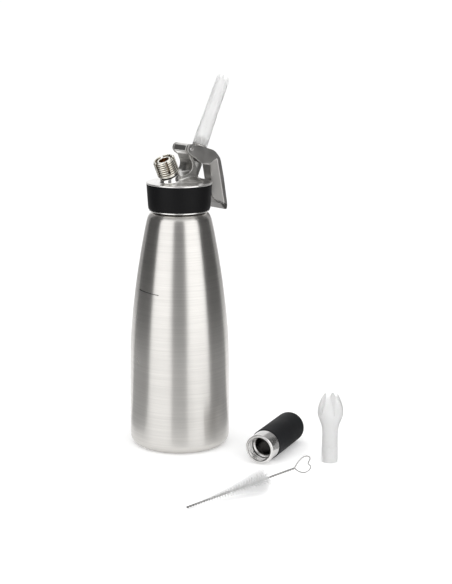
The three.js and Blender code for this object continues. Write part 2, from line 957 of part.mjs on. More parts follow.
function straightTip() {
  const end = tipSeat + tipLength;
  const socketRadius = adaptorStubRadius + adaptorThreadDepth + seatGap;
  const outline = [
    [socketRadius, tipSeat],
    [tipBaseRadius, tipSeat],
    [tipRingRadius, tipSeat + tipRingHeight],
    [tipRingRadius - seatGap, tipSeat + tipRingHeight + seatGap],
    [tipEndRadius, end],
    [tipEndRadius - tipWall, end],
    [tipRingRadius - seatGap - tipWall, tipSeat + tipRingHeight],
    [socketRadius, tipSeat + tipSocketDepth],
  ];
  const notches = Array.from({ length: crownPoints / 2 }, (_, i) =>
    notchBar(crownNotchHalfWidth, crownDepth, tipBaseRadius + overrun, end).rotateZ(
      (fullTurn * i) / crownPoints,
    ),
  );
  return cut(turned(outline, bossSides), ...notches);
}

function tulipTip() {
  const upperBellyRadius = (tulipMouthRadius + tulipBellyRadius) / 2 + tulipWall;
  const upperBellyHeight = (tulipHeight + tulipBellyHeight) / 2 + tulipWall;
  const outside = smooth(
    [
      [tulipTubeRadius, tulipTubeTop],
      [(tulipTubeRadius + tulipBellyRadius) / 2, (tulipTubeTop + tulipBellyHeight) / 2],
      [tulipBellyRadius, tulipBellyHeight],
      [upperBellyRadius, upperBellyHeight],
      [tulipMouthRadius, tulipHeight],
    ],
    7,
  );
  const inside = outside.map(([radius, height]) => [radius - tulipWall, height]).reverse();
  const outline = [[tulipTubeRadius - tulipWall, 0], [tulipTubeRadius, 0], ...outside, ...inside];
  const slits = Array.from({ length: tulipPetals / 2 }, (_, i) =>
    notchBar(tulipSlitHalfWidth, tulipSlitDepth, tulipBellyRadius + overrun, tulipHeight).rotateZ(
      (fullTurn * i) / tulipPetals,
    ),
  );
  return cut(turned(outline, bossSides), ...slits);
}

function chargerHolder() {
  const outline = [
    [holderThreadBore, 0],
    [holderRadius - holderChamfer, 0],
    [holderRadius, holderChamfer],
    [holderRadius, holderCollarLength],
    [holderBodyRadius, holderCollarLength],
    ...arc(
      holderBodyRadius - holderEndRound,
      holderBodyLength - holderEndRound,
      holderEndRound,
      0,
      quarterTurn,
      4,
    ),
    [0, holderBodyLength],
    [0, chargerBoreDepth],
    [chargerBore, chargerBoreDepth],
    [chargerBore, holderThreadLength + holderChamfer],
    [holderThreadBore, holderThreadLength],
  ];
  const thread = threadSleeve({
    root: holderThreadBore,
    depth: -holderThreadDepth,
    buried: (holderThreadBore + holderRadius) / 2,
    pitch: connectorThreadPitch,
    from: holderChamfer,
    length: holderThreadLength - 2 * holderChamfer,
    sides: holderSides,
  });
  return join(turned(outline, holderSides), thread);
}

function holderGrip() {
  const inside = holderBodyRadius + seatGap;
  const outside = inside + gripWall;
  const endInside = holderBodyLength + seatGap;
  const end = endInside + gripEndWall;
  const outline = [
    [0, endInside],
    ...arc(inside - holderEndRound, endInside - holderEndRound, holderEndRound, quarterTurn, 0, 4),
    [inside, holderCollarLength + seatGap],
    [outside, holderCollarLength + seatGap],
    ...arc(outside - gripEndRound, end - gripEndRound, gripEndRound, 0, quarterTurn, 5),
    [0, end],
  ];
  return turned(outline, holderSides);
}

// One thin three-sided strand from inside the brush's core to its pointed end at a radius
function strand(height, angle, reach) {
  const root = coreRadius / 2;
  const corners = [0, 1, 2].map((k) => {
    const turn = (fullTurn * k) / 3;
    return [root, bristleRadius * Math.cos(turn), bristleRadius * Math.sin(turn)];
  });
  return new THREE.BufferGeometry()
    .setAttribute("position", new THREE.Float32BufferAttribute([...corners, [reach, 0, 0]].flat(), 3))
    .setIndex([0, 2, 1, 0, 1, 3, 1, 2, 3, 2, 0, 3])
    .rotateZ(angle)
    .translate(0, 0, height);
}

// Pairs of opposite strands along the core. Each pair stands on the next face of the core.
function brushBristles() {
  const coreSideAngle = fullTurn / coreSides;
  const positions = [];
  for (let row = 0; row < bristleRows; row += 1) {
    const share = (row + 1) / (bristleRows + 1);
    const reach = bristleTipRadius + (bristleEndRadius - bristleTipRadius) * share;
    for (const half of [0, 1]) {
      const angle = coreSideAngle * (row + 1 / 2) + half * Math.PI;
      const one = strand(bristleLength * share, angle, reach).toNonIndexed();
      positions.push(...one.attributes.position.array);
    }
  }
  const strands = new THREE.BufferGeometry();
  strands.setAttribute("position", new THREE.Float32BufferAttribute(positions, 3));
  return join(post(coreRadius, -coreLead, bristleLength, coreSides), strands);
}

// Two wires twisted round each other, drawn as one bar whose oval section turns
function twistedWire(from, length) {
  const steps = Math.round((twistSteps * length) / twistPitch);
  const sides = 6;
  const positions = [];
  const index = [];
  for (let step = 0; step <= steps; step += 1) {
    const along = (length * step) / steps;
    const roll = (fullTurn * along) / twistPitch;
    for (let side = 0; side < sides; side += 1) {
      const angle = (fullTurn * side) / sides;
      const wide = 2 * wireRadius * Math.cos(angle);
      const narrow = wireRadius * Math.sin(angle);
      positions.push(
        wide * Math.cos(roll) - narrow * Math.sin(roll),
        wide * Math.sin(roll) + narrow * Math.cos(roll),
        from + along,
      );
    }
  }
  for (let step = 0; step < steps; step += 1) {
    for (let side = 0; side < sides; side += 1) {
      const next = (side + 1) % sides;
      const low = step * sides;
      const high = low + sides;
      index.push(low + side, low + next, high + next, low + side, high + next, high + side);
    }
  }
  const last = steps * sides;
  for (let side = 1; side + 1 < sides; side += 1) {
    index.push(0, side + 1, side, last, last + side, last + side + 1);
  }
  return new THREE.BufferGeometry()
    .setAttribute("position", new THREE.Float32BufferAttribute(positions, 3))
    .setIndex(index);
}

function brushWire() {
  const from = bristleLength + seatGap;
  const loopFoot = from + twistLength;
  const side = loopShares.map(([along, across]) => [loopLength * along, loopHalfWidth * across]);
  const others = side.slice(0, -1).reverse();
  const points = [
    ...side.map(([along, across]) => new THREE.Vector3(across, 0, loopFoot - wireRadius + along)),
    ...others.map(([along, across]) => new THREE.Vector3(-across, 0, loopFoot - wireRadius + along)),
  ];
  const loop = bar(new THREE.CatmullRomCurve3(points), wireRadius, 26, 5);
  return join(twistedWire(from, twistLength), loop);
}

// Finishes
function finish(colour, roughness, metalness, opacity = 1) {
  return new THREE.MeshStandardMaterial({
    color: colour,
    roughness,
    metalness,
    opacity,
    transparent: opacity < 1,
  });
}

const brushedSteel = finish(0xb4b2ae, 0.35, 1);
const satinSteel = finish(0x8c8a86, 0.4, 1);
const leverSteel = finish(0x77756f, 0.45, 1);
const brightNickel = finish(0xcfc8b8, 0.2, 1);
const brass = finish(0xa8824c, 0.3, 1);
const springSteel = finish(0x9a9a9a, 0.3, 1);
const blackSilicone = finish(0x18181a, 0.6, 0);
const greySilicone = finish(0xc9c9c4, 0.6, 0);
const blackGrip = finish(0x2a2b2d, 0.65, 0);
const milkyPlastic = finish(0xe6e6e4, 0.35, 0, 0.7);
const nylon = finish(0xe9e9e7, 0.5, 0, 0.9);

function part(name, geometry, material) {
  const mesh = new THREE.Mesh(geometry, material);
  mesh.name = name;
  return mesh;
}

function inFrame(frame, ...meshes) {
  const group = new THREE.Group();
  frame.decompose(group.position, group.quaternion, group.scale);
  return group.add(...meshes);
}

const bottle = part("bottle_shell", bottleShell(), brushedSteel);

const head = new THREE.Group().add(
  part("head_gasket", headGasket(), greySilicone),
  part("head_cap", headCap(), satinSteel),
  part("collar_grip", collarGrip(), blackSilicone),
  part("pivot_pin", pivotPin(), springSteel),
  part("lever", lever(), leverSteel),
);

const valve = inFrame(
  valveFrame,
  part("nozzle_adaptor", nozzleAdaptor(), satinSteel),
  part("valve_stem", valveStem(), springSteel),
  part("valve_seal", valveSeal(), blackSilicone),
  part("stem_ring_lower", stemRing(lowerRingDepth), blackSilicone),
  part("stem_ring_upper", stemRing(upperRingDepth), blackSilicone),
  part("valve_spring", valveSpring(), springSteel),
  part("straight_tip", straightTip(), milkyPlastic),
);

const charging = inFrame(
  chargerFrame,
  part("charger_connector", chargerConnector(), brightNickel),
  part("connector_washer", connectorWasher(), blackSilicone),
  part("piercer", piercer(), brass),
  part("charger_seal", chargerSeal(), blackSilicone),
  part("check_valve_sleeve", checkValveSleeve(), greySilicone),
);

const tulip = part("tulip_tip", tulipTip(), milkyPlastic);
tulip.position.set(...tulipPlace, 0);
tulip.rotation.z = tulipTurn;

const holderOutside = Math.max(holderRadius, holderBodyRadius + seatGap + gripWall);
const holder = new THREE.Group().add(
  part("charger_holder", chargerHolder(), brightNickel),
  part("holder_grip", holderGrip(), blackGrip),
);
holder.rotation.set(0, quarterTurn, holderTurn, "ZYX");
holder.position.set(...holderPlace, holderOutside);

const brushTilt = Math.asin((bristleEndRadius - bristleTipRadius) / bristleLength);
const brush = new THREE.Group().add(
  part("brush_bristles", brushBristles(), nylon),
  part("brush_wire", brushWire(), springSteel),
);
brush.rotation.set(0, quarterTurn - brushTilt, brushTurn, "ZYX");
brush.position.set(...brushPlace, bristleTipRadius + brushFloorGap);

const dispenser = new THREE.Group().add(bottle, head, valve, charging, tulip, holder, brush);

export default dispenser;
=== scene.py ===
"""The looks of a whipped cream dispenser with its loose pieces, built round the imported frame.

Shapes are written in millimetres in the frame's axes and turned into metres when a mesh is made.
"""

import math

import bpy
import numpy as np
from mathutils import Matrix, Vector

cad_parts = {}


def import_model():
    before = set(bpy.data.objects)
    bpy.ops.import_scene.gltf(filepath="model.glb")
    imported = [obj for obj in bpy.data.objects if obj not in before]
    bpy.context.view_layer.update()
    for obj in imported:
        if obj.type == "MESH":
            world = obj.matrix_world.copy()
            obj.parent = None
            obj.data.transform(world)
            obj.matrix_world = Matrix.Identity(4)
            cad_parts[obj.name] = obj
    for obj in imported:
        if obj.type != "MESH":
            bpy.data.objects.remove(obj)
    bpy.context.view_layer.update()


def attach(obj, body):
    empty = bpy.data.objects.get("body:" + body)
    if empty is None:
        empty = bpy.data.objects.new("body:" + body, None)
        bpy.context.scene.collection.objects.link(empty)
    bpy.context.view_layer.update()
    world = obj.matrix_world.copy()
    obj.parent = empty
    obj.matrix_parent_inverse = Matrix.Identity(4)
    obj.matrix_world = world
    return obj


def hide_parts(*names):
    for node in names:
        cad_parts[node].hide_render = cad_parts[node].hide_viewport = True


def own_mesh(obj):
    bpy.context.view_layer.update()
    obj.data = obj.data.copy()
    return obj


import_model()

METRE = 1000.0
TURN = 2 * math.pi
SHARP_ANGLE = math.radians(40)

# Camera, as fitted to the photograph: degrees, metres and pixels
CAMERA_TURN = 42
CAMERA_DOWN = 12.75
CAMERA_DISTANCE = 1.42
CAMERA_RIGHT = 0.016
CAMERA_HEIGHT = 0.472
FOCAL_LENGTH = 1500
PHOTO_HEIGHT = 584
PHOTO_SHIFT = 30
SENSOR = 36

# Bottle
NECK_RADIUS = 24.6
NECK_BOTTOM = 232.6
MOUTH_RADIUS = 22.6
MOUTH_TOP = 248
BOTTLE_THREAD = (233.5, 245.5)
SCREW_PITCH = 5
FILL_HEIGHT = 155.5
MARK_STEPS = 40

# Head
DISC_TOP = 258.8
MOUND_X = 5.5
MOUND_RADIUS = 23.0
MOUND_SHOULDER = 11.0
MOUND_RISE = 4.9
DISC_UNDERSIDE = 251.0
RECESS_TOP = 254.0
RECESS_RADIUS = 20.0
RIM_RADIUS = 32.0
RIM_BOTTOM = 257.0
SKIRT_BORE = 26.6
SKIRT_RADIUS = 28.1
SKIRT_BOTTOM = 231.2
LIP_RADIUS = 29.2
LIP_TOP = 232.7
PIVOT = (5.8, 290.4)
PIVOT_HEIGHT = 31.6
KNUCKLE_RADIUS = 4.8
PIN_RADIUS = 1.7
TOWER_HALF = 8.4
FOOT_HALF = 9.6
SCOOP_RADIUS = 7.9
PEDESTAL_X = -12.0
PEDESTAL_RADIUS = 9.2

# Valve, in its leaning frame
VALVE_LEAN = math.radians(26.3)
VALVE_FOOT = (21.757, 0.0, 282.513)
HOUSING_RADIUS = 8.4
HOUSING_TOP = -6.57
SPRING_FLOOR = -18.57
SPRING_BORE = 6.2
SEAT_DEPTH = 35.0
STEM_RADIUS = 3.2
STEM_BORE = 3.5
RING_DEPTHS = (29, 23)
FLANGE_BOTTOM = -4.1
FLANGE_TOP = -1.9
COLLAR_BOTTOM = 6.6
COLLAR_TOP = 9.8
COIL_RADIUS = 4.9
COIL_TURNS = 5

# Charger connector, in its leaning frame
CHARGER_LEAN = math.radians(-24)
CHARGER_TOP = (-19.894, 0.0, 282.370)
CHARGER_PITCH = 2.1
HEAD_LENGTH = 16.5

# Lever
LEVER_REACH = 47.2
LEVER_DROP = 62.8
LEVER_HALF = 11.1
CHEEK_INSIDE = 8.7
EDGE_HALF = 2.6
BRIDGE_START = 27.4

# Tips
TIP_SEAT = 10.1
TIP_RING = 17.0
TIP_LENGTH = 72.6
TIP_TEETH = 65.2
TULIP_LENGTH = 65.8
TULIP_PETALS = 47.8
TULIP_HALF_WALL = 0.62

# Charger holder and brush
GRIP_RADIUS = 14.9
HOLDER_BORE = 11.8
HOLDER_LENGTH = 81.5
WIRE_PITCH = 5.5
WIRE_FROM = -1.5
WIRE_TO = 115.0
STRAND_RADIUS = 0.52
LOOP_FOOT = 114.55
BRISTLES_FROM = 1.0
BRISTLES_TO = 81.5
FILAMENTS = 5200
BRUSH_TILT = math.asin((11.8 - 1.6) / 82)


def turn_and_place(place, *turns):
    matrix = Matrix.Translation(Vector(place))
    for angle, axis in turns:
        matrix = matrix @ Matrix.Rotation(angle, 4, axis)
    return matrix


VALVE = turn_and_place(VALVE_FOOT, (VALVE_LEAN, "Y"))
CHARGER = turn_and_place(CHARGER_TOP, (CHARGER_LEAN, "Y"))
TULIP = turn_and_place((64.6, -142.1, 0), (math.radians(-90.5), "Z"))
HOLDER = turn_and_place((7.1, -105, GRIP_RADIUS), (math.radians(23), "Z"), (math.pi / 2, "Y"))
BRUSH = turn_and_place((-119.4, -146.5, 1.8), (math.radians(-10), "Z"), (math.pi / 2 - BRUSH_TILT, "Y"))


# Meshes


def show(name, data):
    made = bpy.data.objects.new(name, data)
    bpy.context.scene.collection.objects.link(made)
    return made


def new_piece(name, node, surface, body, materials, matrix=None):
    """A mesh object in place of a CAD node, or of none, riding on a body. The surface is in millimetres:
    vertices, faces and, where it has them, normals."""
    vertices, faces, *normals = surface
    points = np.asarray(vertices, float)
    if matrix is not None:
        m = np.array(matrix, float)
        points = points @ m[:3, :3].T + m[:3, 3]
        normals = [n @ m[:3, :3].T for n in normals]
    mesh = bpy.data.meshes.new(name)
    corners = faces.tolist() if isinstance(faces, np.ndarray) else faces
    mesh.from_pydata((points / METRE).tolist(), [], corners)
    mesh.validate()
    mesh.shade_smooth()
    if normals:
        mesh.normals_split_custom_set_from_vertices(normals[0].tolist())
    else:
        mesh.set_sharp_from_angle(angle=SHARP_ANGLE)
    for material in materials:
        mesh.materials.append(material)
    piece = show(name, mesh)
    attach(piece, body)
    if node:
        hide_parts(node)
    return piece


def filleted(corners, steps=5, closed=True):
    """Points of an outline whose corners (a, b, radius) are rounded. An open outline keeps its ends."""
    points = []
    count = len(corners)
    for i, (a, b, radius) in enumerate(corners):
        here = Vector((a, b))
        before = Vector(corners[i - 1][:2]) - here
        after = Vector(corners[(i + 1) % count][:2]) - here
        half = before.angle(after, 0) / 2
        end = not closed and i in (0, count - 1)
        if end or radius == 0 or half > math.radians(89):
            points.append((a, b))
            continue
        reach = min(radius / math.tan(half), before.length / 2, after.length / 2)
        start = here + before.normalized() * reach
        finish = here + after.normalized() * reach
        for k in range(steps + 1):
            t = k / steps
            points.append(tuple(start * (1 - t) ** 2 + here * 2 * t * (1 - t) + finish * t * t))
    return points


def eased(corners, steps=5):
    """An open outline with rounded corners."""
    return filleted(corners, steps, closed=False)


def arc(a, b, radius, low, high, steps):
    angles = [low + (high - low) * k / steps for k in range(steps + 1)]
    return [(a + radius * math.cos(t), b + radius * math.sin(t)) for t in angles]


def spline(points, per_span=4):
    """A smooth line through points (Catmull-Rom)."""
    p = [np.array(q, float) for q in points]
    p = [2 * p[0] - p[1], *p, 2 * p[-1] - p[-2]]
    out = []
    for i in range(1, len(p) - 2):
        for k in range(per_span):
            t = k / per_span
            a, b, c, d = p[i - 1 : i + 3]
            q = 2 * b + (c - a) * t + (2 * a - 5 * b + 4 * c - d) * t**2 + (3 * b - a - 3 * c + d) * t**3
            out.append(tuple(q / 2))
    out.append(tuple(p[-2]))
    return out


def turned(outline, sides, shape=None):
    """Vertices and faces of a surface of revolution. An outline off the axis closes on itself.
    shape(angles, radius, height) is added to the radius, for threads and knurls."""
    outline = [(max(r, 0.0), z) for r, z in outline]
    on_axis = outline[0][0] == 0 and outline[-1][0] == 0
    angles = TURN * np.arange(sides) / sides
    vertices, rows = [], []
    for radius, height in outline:
        if radius == 0:
            rows.append([len(vertices)] * sides)
            vertices.append((0.0, 0.0, height))
            continue
        radii = np.full(sides, radius) + (shape(angles, radius, height) if shape else 0)
        rows.append(list(range(len(vertices), len(vertices) + sides)))
        vertices.extend(zip(radii * np.cos(angles), radii * np.sin(angles), np.full(sides, height)))
    pairs = list(zip(rows[:-1], rows[1:]))
    if not on_axis:
        pairs.append((rows[-1], rows[0]))
    faces = []
    for low, high in pairs:
        for i in range(sides):
            j = (i + 1) % sides
            corners = [low[i], low[j], high[j], high[i]]
            kept = [c for k, c in enumerate(corners) if c != corners[k - 1]]
            if len(kept) > 2:
                faces.append(kept)
    return vertices, faces


def at(radius, angle, height):
    """A place round the Z axis."""
    return (radius * math.cos(angle), radius * math.sin(angle), height)


def smooth(t):
    return t * t * (3 - 2 * t)


def crest(phase):
    """The rounded profile of one turn of a thread."""
    wave = np.abs(2 * (phase - np.floor(phase)) - 1)
    return smooth(np.clip(1.9 * wave - 0.45, 0, 1))


def fade(value, low, high, lead):
    """1 between low and high, running out to 0 over the lead at each end."""
    return smooth(np.clip(np.minimum(value - low, high - value) / lead, 0, 1))


def screw(low, high, pitch, depth, lead, widest=math.inf, origin=None):
    """The height of a screw thread over the surface that it is cut in, as a shape for turned()."""
    start = low if origin is None else origin

    def thread(angle, radius, height):
        phase = (height - start) / pitch - angle / TURN
        return (radius < widest) * depth * crest(phase) * fade(height, low, high, lead)

    return thread


def polar(x, y):
    return np.sqrt(x * x + y * y), np.arctan2(y, x)


def folded(angle, count, start=0.0):
    """The angle from the nearest of count even spokes."""
    return np.mod(angle + start, TURN / count) - TURN / (2 * count)


def tube(points, radius, sides, vertices=(), faces=()):
    """Vertices and faces of a round bar along points, after those that are there."""
    vertices, faces = list(vertices), list(faces)
    start = len(vertices)
    p = np.asarray(points, float)
    along = np.gradient(p, axis=0)
    along /= np.linalg.norm(along, axis=1)[:, None]
    side = np.cross(along[0], (0, 0, 1) if abs(along[0][2]) < 0.9 else (1, 0, 0))
    for i, (here, forward) in enumerate(zip(p, along)):
        side = side - forward * np.dot(side, forward)
        side /= np.linalg.norm(side)
        up = np.cross(forward, side)
        for k in range(sides):
            angle = TURN * k / sides
            vertices.append(here + radius * (side * math.cos(angle) + up * math.sin(angle)))
        if i:
            low, high = start + (i - 1) * sides, start + i * sides
            ring = [(k, (k + 1) % sides) for k in range(sides)]
            faces += [[low + k, low + n, high + n, high + k] for k, n in ring]
    faces.append([start + k for k in range(sides)][::-1])
    faces.append([len(vertices) - sides + k for k in range(sides)])
    return vertices, faces


# Distance fields, meshed as smooth surfaces


def smax(a, b, k):
    h = np.maximum(k - np.abs(a - b), 0) / k
    return np.maximum(a, b) + h * h * k / 4


def smin(a, b, k):
    return -smax(-a, -b, k)


def polygon(points):
    """The signed distance to a polygon in a plane, negative inside."""
    corners = [np.array(p, float) for p in points]

    def distance(x, z):
        best = np.full(np.broadcast(x, z).shape, 1e9)
        inside = np.zeros(best.shape, bool)
        for i, here in enumerate(corners):
            other = corners[i - 1]
            edge = other - here
            wx, wz = x - here[0], z - here[1]
            t = np.clip((wx * edge[0] + wz * edge[1]) / max(edge @ edge, 1e-12), 0, 1)
            bx, bz = wx - edge[0] * t, wz - edge[1] * t
            best = np.minimum(best, bx * bx + bz * bz)
            above, below = z >= here[1], z < other[1]
            left = edge[0] * wz > edge[1] * wx
            inside ^= (above & below & left) | (~above & ~below & ~left)
        return np.where(inside, -1, 1) * np.sqrt(best)

    return distance


def net(field, low, high, step, passes=3):
    """Vertices, quads and normals of the surface where a field is zero, by surface nets with each vertex
    moved onto the surface."""
    low, high = np.array(low, float), np.array(high, float)
    count = np.ceil((high - low) / step).astype(int) + 1
    xs, ys, zs = np.ix_(*(low[i] + step * np.arange(count[i]) for i in range(3)))
    values = np.empty(count, np.float32)
    for k in range(0, count[2], 24):
        values[:, :, k : k + 24] = field(xs, ys, zs[:, :, k : k + 24])
    inside = values < 0
    cells = tuple(count - 1)
    total = np.zeros(cells, np.uint8)
    offsets = [(a, b, c) for a in (0, 1) for b in (0, 1) for c in (0, 1)]
    for a, b, c in offsets:
        total += inside[a : a + cells[0], b : b + cells[1], c : c + cells[2]]
    where = np.nonzero((total > 0) & (total < 8))
    index = np.full(cells, -1, np.int64)
    index[where] = np.arange(len(where[0]))
    corner = {o: values[where[0] + o[0], where[1] + o[1], where[2] + o[2]] for o in offsets}
    sums = np.zeros((len(where[0]), 3))
    crossings = np.zeros(len(where[0]))
    for start in offsets:
        for axis in range(3):
            if start[axis]:
                continue
            end = tuple(1 if i == axis else start[i] for i in range(3))
            va, vb = corner[start], corner[end]
            hit = (va < 0) != (vb < 0)
            t = np.where(hit, va / np.where(hit, va - vb, 1), 0)
            sums += hit[:, None] * (start + t[:, None] * np.eye(3)[axis])
            crossings += hit
    points = low + step * (np.stack(where, 1) + sums / crossings[:, None])
    quads = []
    for axis in range(3):
        e, f = (axis + 1) % 3, (axis + 2) % 3
        spot = np.stack(np.nonzero(np.diff(inside, axis=axis)), 1)
        spot = spot[((spot[:, [e, f]] > 0) & (spot[:, [e, f]] < (cells[e], cells[f]))).all(1)]
        outward = inside[tuple(spot.T)]
        ring = []
        for de, df in ((0, 0), (-1, 0), (-1, -1), (0, -1)):
            cell = spot.copy()
            cell[:, e] += de
            cell[:, f] += df
            ring.append(index[tuple(cell.T)])
        ring = np.stack(ring, 1)
        ring[~outward] = ring[~outward][:, ::-1]
        quads.append(ring)
    quads = np.concatenate(quads)

    def slope(p):
        reach = step * 0.2
        rises = [field(*(p + d).T) - field(*(p - d).T) for d in reach * np.eye(3)]
        return np.stack(rises, 1) / (2 * reach)

    for _ in range(passes):
        g = slope(points)
        move = field(*points.T) / np.maximum((g * g).sum(1), 0.05)
        shift = g * move[:, None]
        length = np.linalg.norm(shift, axis=1)
        shift *= (np.minimum(length, 0.5 * step) / np.maximum(length, 1e-9))[:, None]
        points = points - shift
    normals = slope(points)
    normals /= np.maximum(np.linalg.norm(normals, axis=1), 1e-9)[:, None]
    flat = np.zeros_like(points)
    face = np.cross(points[quads[:, 2]] - points[quads[:, 0]], points[quads[:, 3]] - points[quads[:, 1]])
    for corner_row in quads.T:
        np.add.at(flat, corner_row, face)
    flat /= np.maximum(np.linalg.norm(flat, axis=1), 1e-12)[:, None]
    astray = (normals * flat).sum(1) < 0.8
    normals[astray] = flat[astray]
    return points, quads, normals


# Materials


def add_node(tree, kind, inputs=None, **settings):
    """A shader node whose inputs get a link from a socket, or a value."""
    made = tree.nodes.new(kind)
    for key, value in settings.items():
        setattr(made, key, value)
    for key, value in (inputs or {}).items():
        if isinstance(value, bpy.types.NodeSocket):
            tree.links.new(value, made.inputs[key])
        else:
            made.inputs[key].default_value = value
    return made


class Finish:
    """A node material round one Principled shader."""

    def __init__(self, name, colour, metallic, roughness, **sockets):
        self.material = bpy.data.materials.new(name)
        self.material.use_nodes = True
        self.tree = self.material.node_tree
        self.shader = next(n for n in self.tree.nodes if n.type == "BSDF_PRINCIPLED")
        self.colour = colour
        sockets |= {"base_color": (*colour, 1), "metallic": metallic, "roughness": roughness}
        for socket, value in sockets.items():
            self.shader.inputs[socket.replace("_", " ").title().replace("Ior", "IOR")].default_value = value
        self.place = self.node("ShaderNodeTexCoord").outputs["Object"]

    def node(self, kind, inputs=None, **settings):
        return add_node(self.tree, kind, inputs, **settings)

    def link(self, value, socket):
        self.tree.links.new(value, self.shader.inputs[socket])

    def noise(self, stretch, detail=4, roughness=0.6):
        """Noise whose features are 1/stretch metres long, along each axis or along all."""
        scale = stretch if isinstance(stretch, tuple) else (stretch,) * 3
        mapped = self.node("ShaderNodeMapping", {"Vector": self.place, "Scale": scale}).outputs[0]
        inputs = {"Vector": mapped, "Scale": 1, "Detail": detail, "Roughness": roughness}
        return self.node("ShaderNodeTexNoise", inputs).outputs["Fac"]

    def spread(self, value, low, high, source=(0.3, 0.7)):
        inputs = {"Value": value, 1: source[0], 2: source[1], 3: low, 4: high}
        return self.node("ShaderNodeMapRange", inputs).outputs[0]

    def mix(self, value, below, above):
        mixed = self.node("ShaderNodeMix", {0: value, 6: below, 7: above}, data_type="RGBA")
        self.link(mixed.outputs[2], "Base Color")

    def tint(self, value, share):
        """Base colour that goes from darker to lighter by a share as value goes from 0 to 1."""
        dark = tuple(c * (1 - share) for c in self.colour)
        light = tuple(min(c * (1 + share), 1) for c in self.colour)
        self.mix(value, (*dark, 1), (*light, 1))

    def recolour(self, value, other):
        """Mixes another colour over the base colour where value is 1."""
        base = self.shader.inputs["Base Color"]
        self.mix(value, base.links[0].from_socket if base.links else base.default_value, (*other, 1))

    def rough(self, value, low, high):
        self.link(self.spread(value, low, high), "Roughness")

    def cloudy(self, stretch, detail, share, low, high):
        """Tint and roughness that drift together."""
        cloud = self.noise(stretch, detail)
        self.tint(cloud, share)
        self.rough(cloud, low, high)
        return cloud

    def bump(self, height, strength, distance):
        """Adds relief to what is there."""
        inputs = {"Height": height, "Strength": strength, "Distance": distance}
        normal = self.shader.inputs["Normal"]
        if normal.links:
            inputs["Normal"] = normal.links[0].from_socket
        self.link(self.node("ShaderNodeBump", inputs).outputs["Normal"], "Normal")

    def painted_shade_and_wear(self, share=None, edges=None, low=0.4, high=0.48):
        """Paints shade into concave corners, darkening them to a share of the colour, and rubs convex edges
        lighter as wear.
        """
        bend = self.node("ShaderNodeNewGeometry").outputs["Pointiness"]
        # Painted shade: concave corners are darkened where shade would fall.
        if share:
            self.recolour(self.spread(bend, 1, 0, (low, high)), tuple(c * share for c in self.colour))
        if edges:
            self.recolour(self.spread(bend, 0, 1, (0.52, 0.58)), edges)

    def turned_round(self):
        """Lays the anisotropic gloss round the Z axis."""
        self.link(self.node("ShaderNodeTangent", direction_type="RADIAL", axis="Z").outputs[0], "Tangent")


def brushed_bottle():
    f = Finish("bottle_brushed_steel", (0.64, 0.625, 0.6), 1, 0.3, anisotropic=0.8, anisotropic_rotation=0.25)
    f.turned_round()
    fine = f.noise((24, 24, 5200), 3, 0.7)
    coarse = f.noise((14, 14, 900), 4, 0.65)
    lines = f.node("ShaderNodeMath", {0: fine, 1: coarse}, operation="MULTIPLY").outputs[0]
    f.tint(f.spread(lines, 0, 1, (0.12, 0.4)), 0.09)
    f.rough(f.noise((22, 22, 30), 3), 0.27, 0.32)
    f.bump(coarse, 0.012, 0.0001)
    return f.material


def turned_steel():
    f = Finish("disc_turned_steel", (0.91, 0.9, 0.88), 1, 0.3, anisotropic=0.6, anisotropic_rotation=0.25)
    f.turned_round()
    flat = f.node("ShaderNodeVectorMath", {0: f.place, 1: (1, 1, 0)}, operation="MULTIPLY").outputs[0]
    radius = f.node("ShaderNodeVectorMath", {0: flat}, operation="LENGTH").outputs["Value"]
    inputs = {"W": radius, "Scale": 2600, "Detail": 3, "Roughness": 0.7}
    rings = f.node("ShaderNodeTexNoise", inputs, noise_dimensions="1D").outputs["Fac"]
    f.tint(f.noise(60), 0.08)
    f.rough(rings, 0.23, 0.34)
    f.bump(rings, 0.1, 0.00003)
    f.painted_shade_and_wear(edges=(0.86, 0.85, 0.83))
    return f.material


def cast_steel(name, colour, low, high, edge):
    f = Finish(name, colour, 1, (low + high) / 2)
    f.cloudy(90, 5, 0.07, low, high)
    f.bump(f.noise(3600, 2), 0.14, 0.00004)
    f.painted_shade_and_wear(0.45, edge)
    return f.material


def soft_rubber(name, colour, roughness, gloss, grain=1500):
    f = Finish(name, colour, 0, roughness, specular_ior_level=gloss)
    f.cloudy(40, 4, 0.18, roughness - 0.06, roughness + 0.08)
    f.bump(f.noise(grain, 3), 0.3, 0.00006)
    return f.material


def milky_plastic(name, clearness, ior, rim_shade_colour):
    """Translucent plastic, with painted shade where it is seen along its wall."""
    inside = {"subsurface_weight": 0.5, "subsurface_scale": 0.006, "subsurface_radius": (1, 1, 1)}
    f = Finish(name, (0.98, 0.98, 0.975), 0, 0.34, transmission_weight=clearness, ior=ior, **inside)
    f.bump(f.cloudy((60, 60, 140), 4, 0.03, 0.28, 0.42), 0.02, 0.0003)
    f.bump(f.noise((900, 900, 500), 3), 0.05, 0.00003)
    # Painted shade towards the silhouette, from the facing angle.
    rim = f.node("ShaderNodeLayerWeight", {"Blend": 0.4}).outputs["Facing"]
    f.recolour(f.spread(rim, 0, 1, (0.45, 0.95)), rim_shade_colour)
    return f.material


def plated(name, colour, low, high, grain=1800):
    f = Finish(name, colour, 1, (low + high) / 2)
    f.cloudy(160, 4, 0.06, low, high)
    f.bump(f.noise(grain, 3), 0.1, 0.00003)
    f.painted_shade_and_wear(0.1, tuple(min(1.0, c * 1.15) for c in colour), 0.42, 0.495)
    return f.material


def wire_steel(name, colour):
    f = Finish(name, colour, 1, 0.3)
    f.bump(f.cloudy(700, 3, 0.15, 0.22, 0.4), 0.1, 0.00004)
    f.painted_shade_and_wear(0.3)
    return f.material


def plain(name, colour, roughness, *cloud, **sockets):
    f = Finish(name, colour, 0, roughness, **sockets)
    f.cloudy(*cloud)
    return f.material


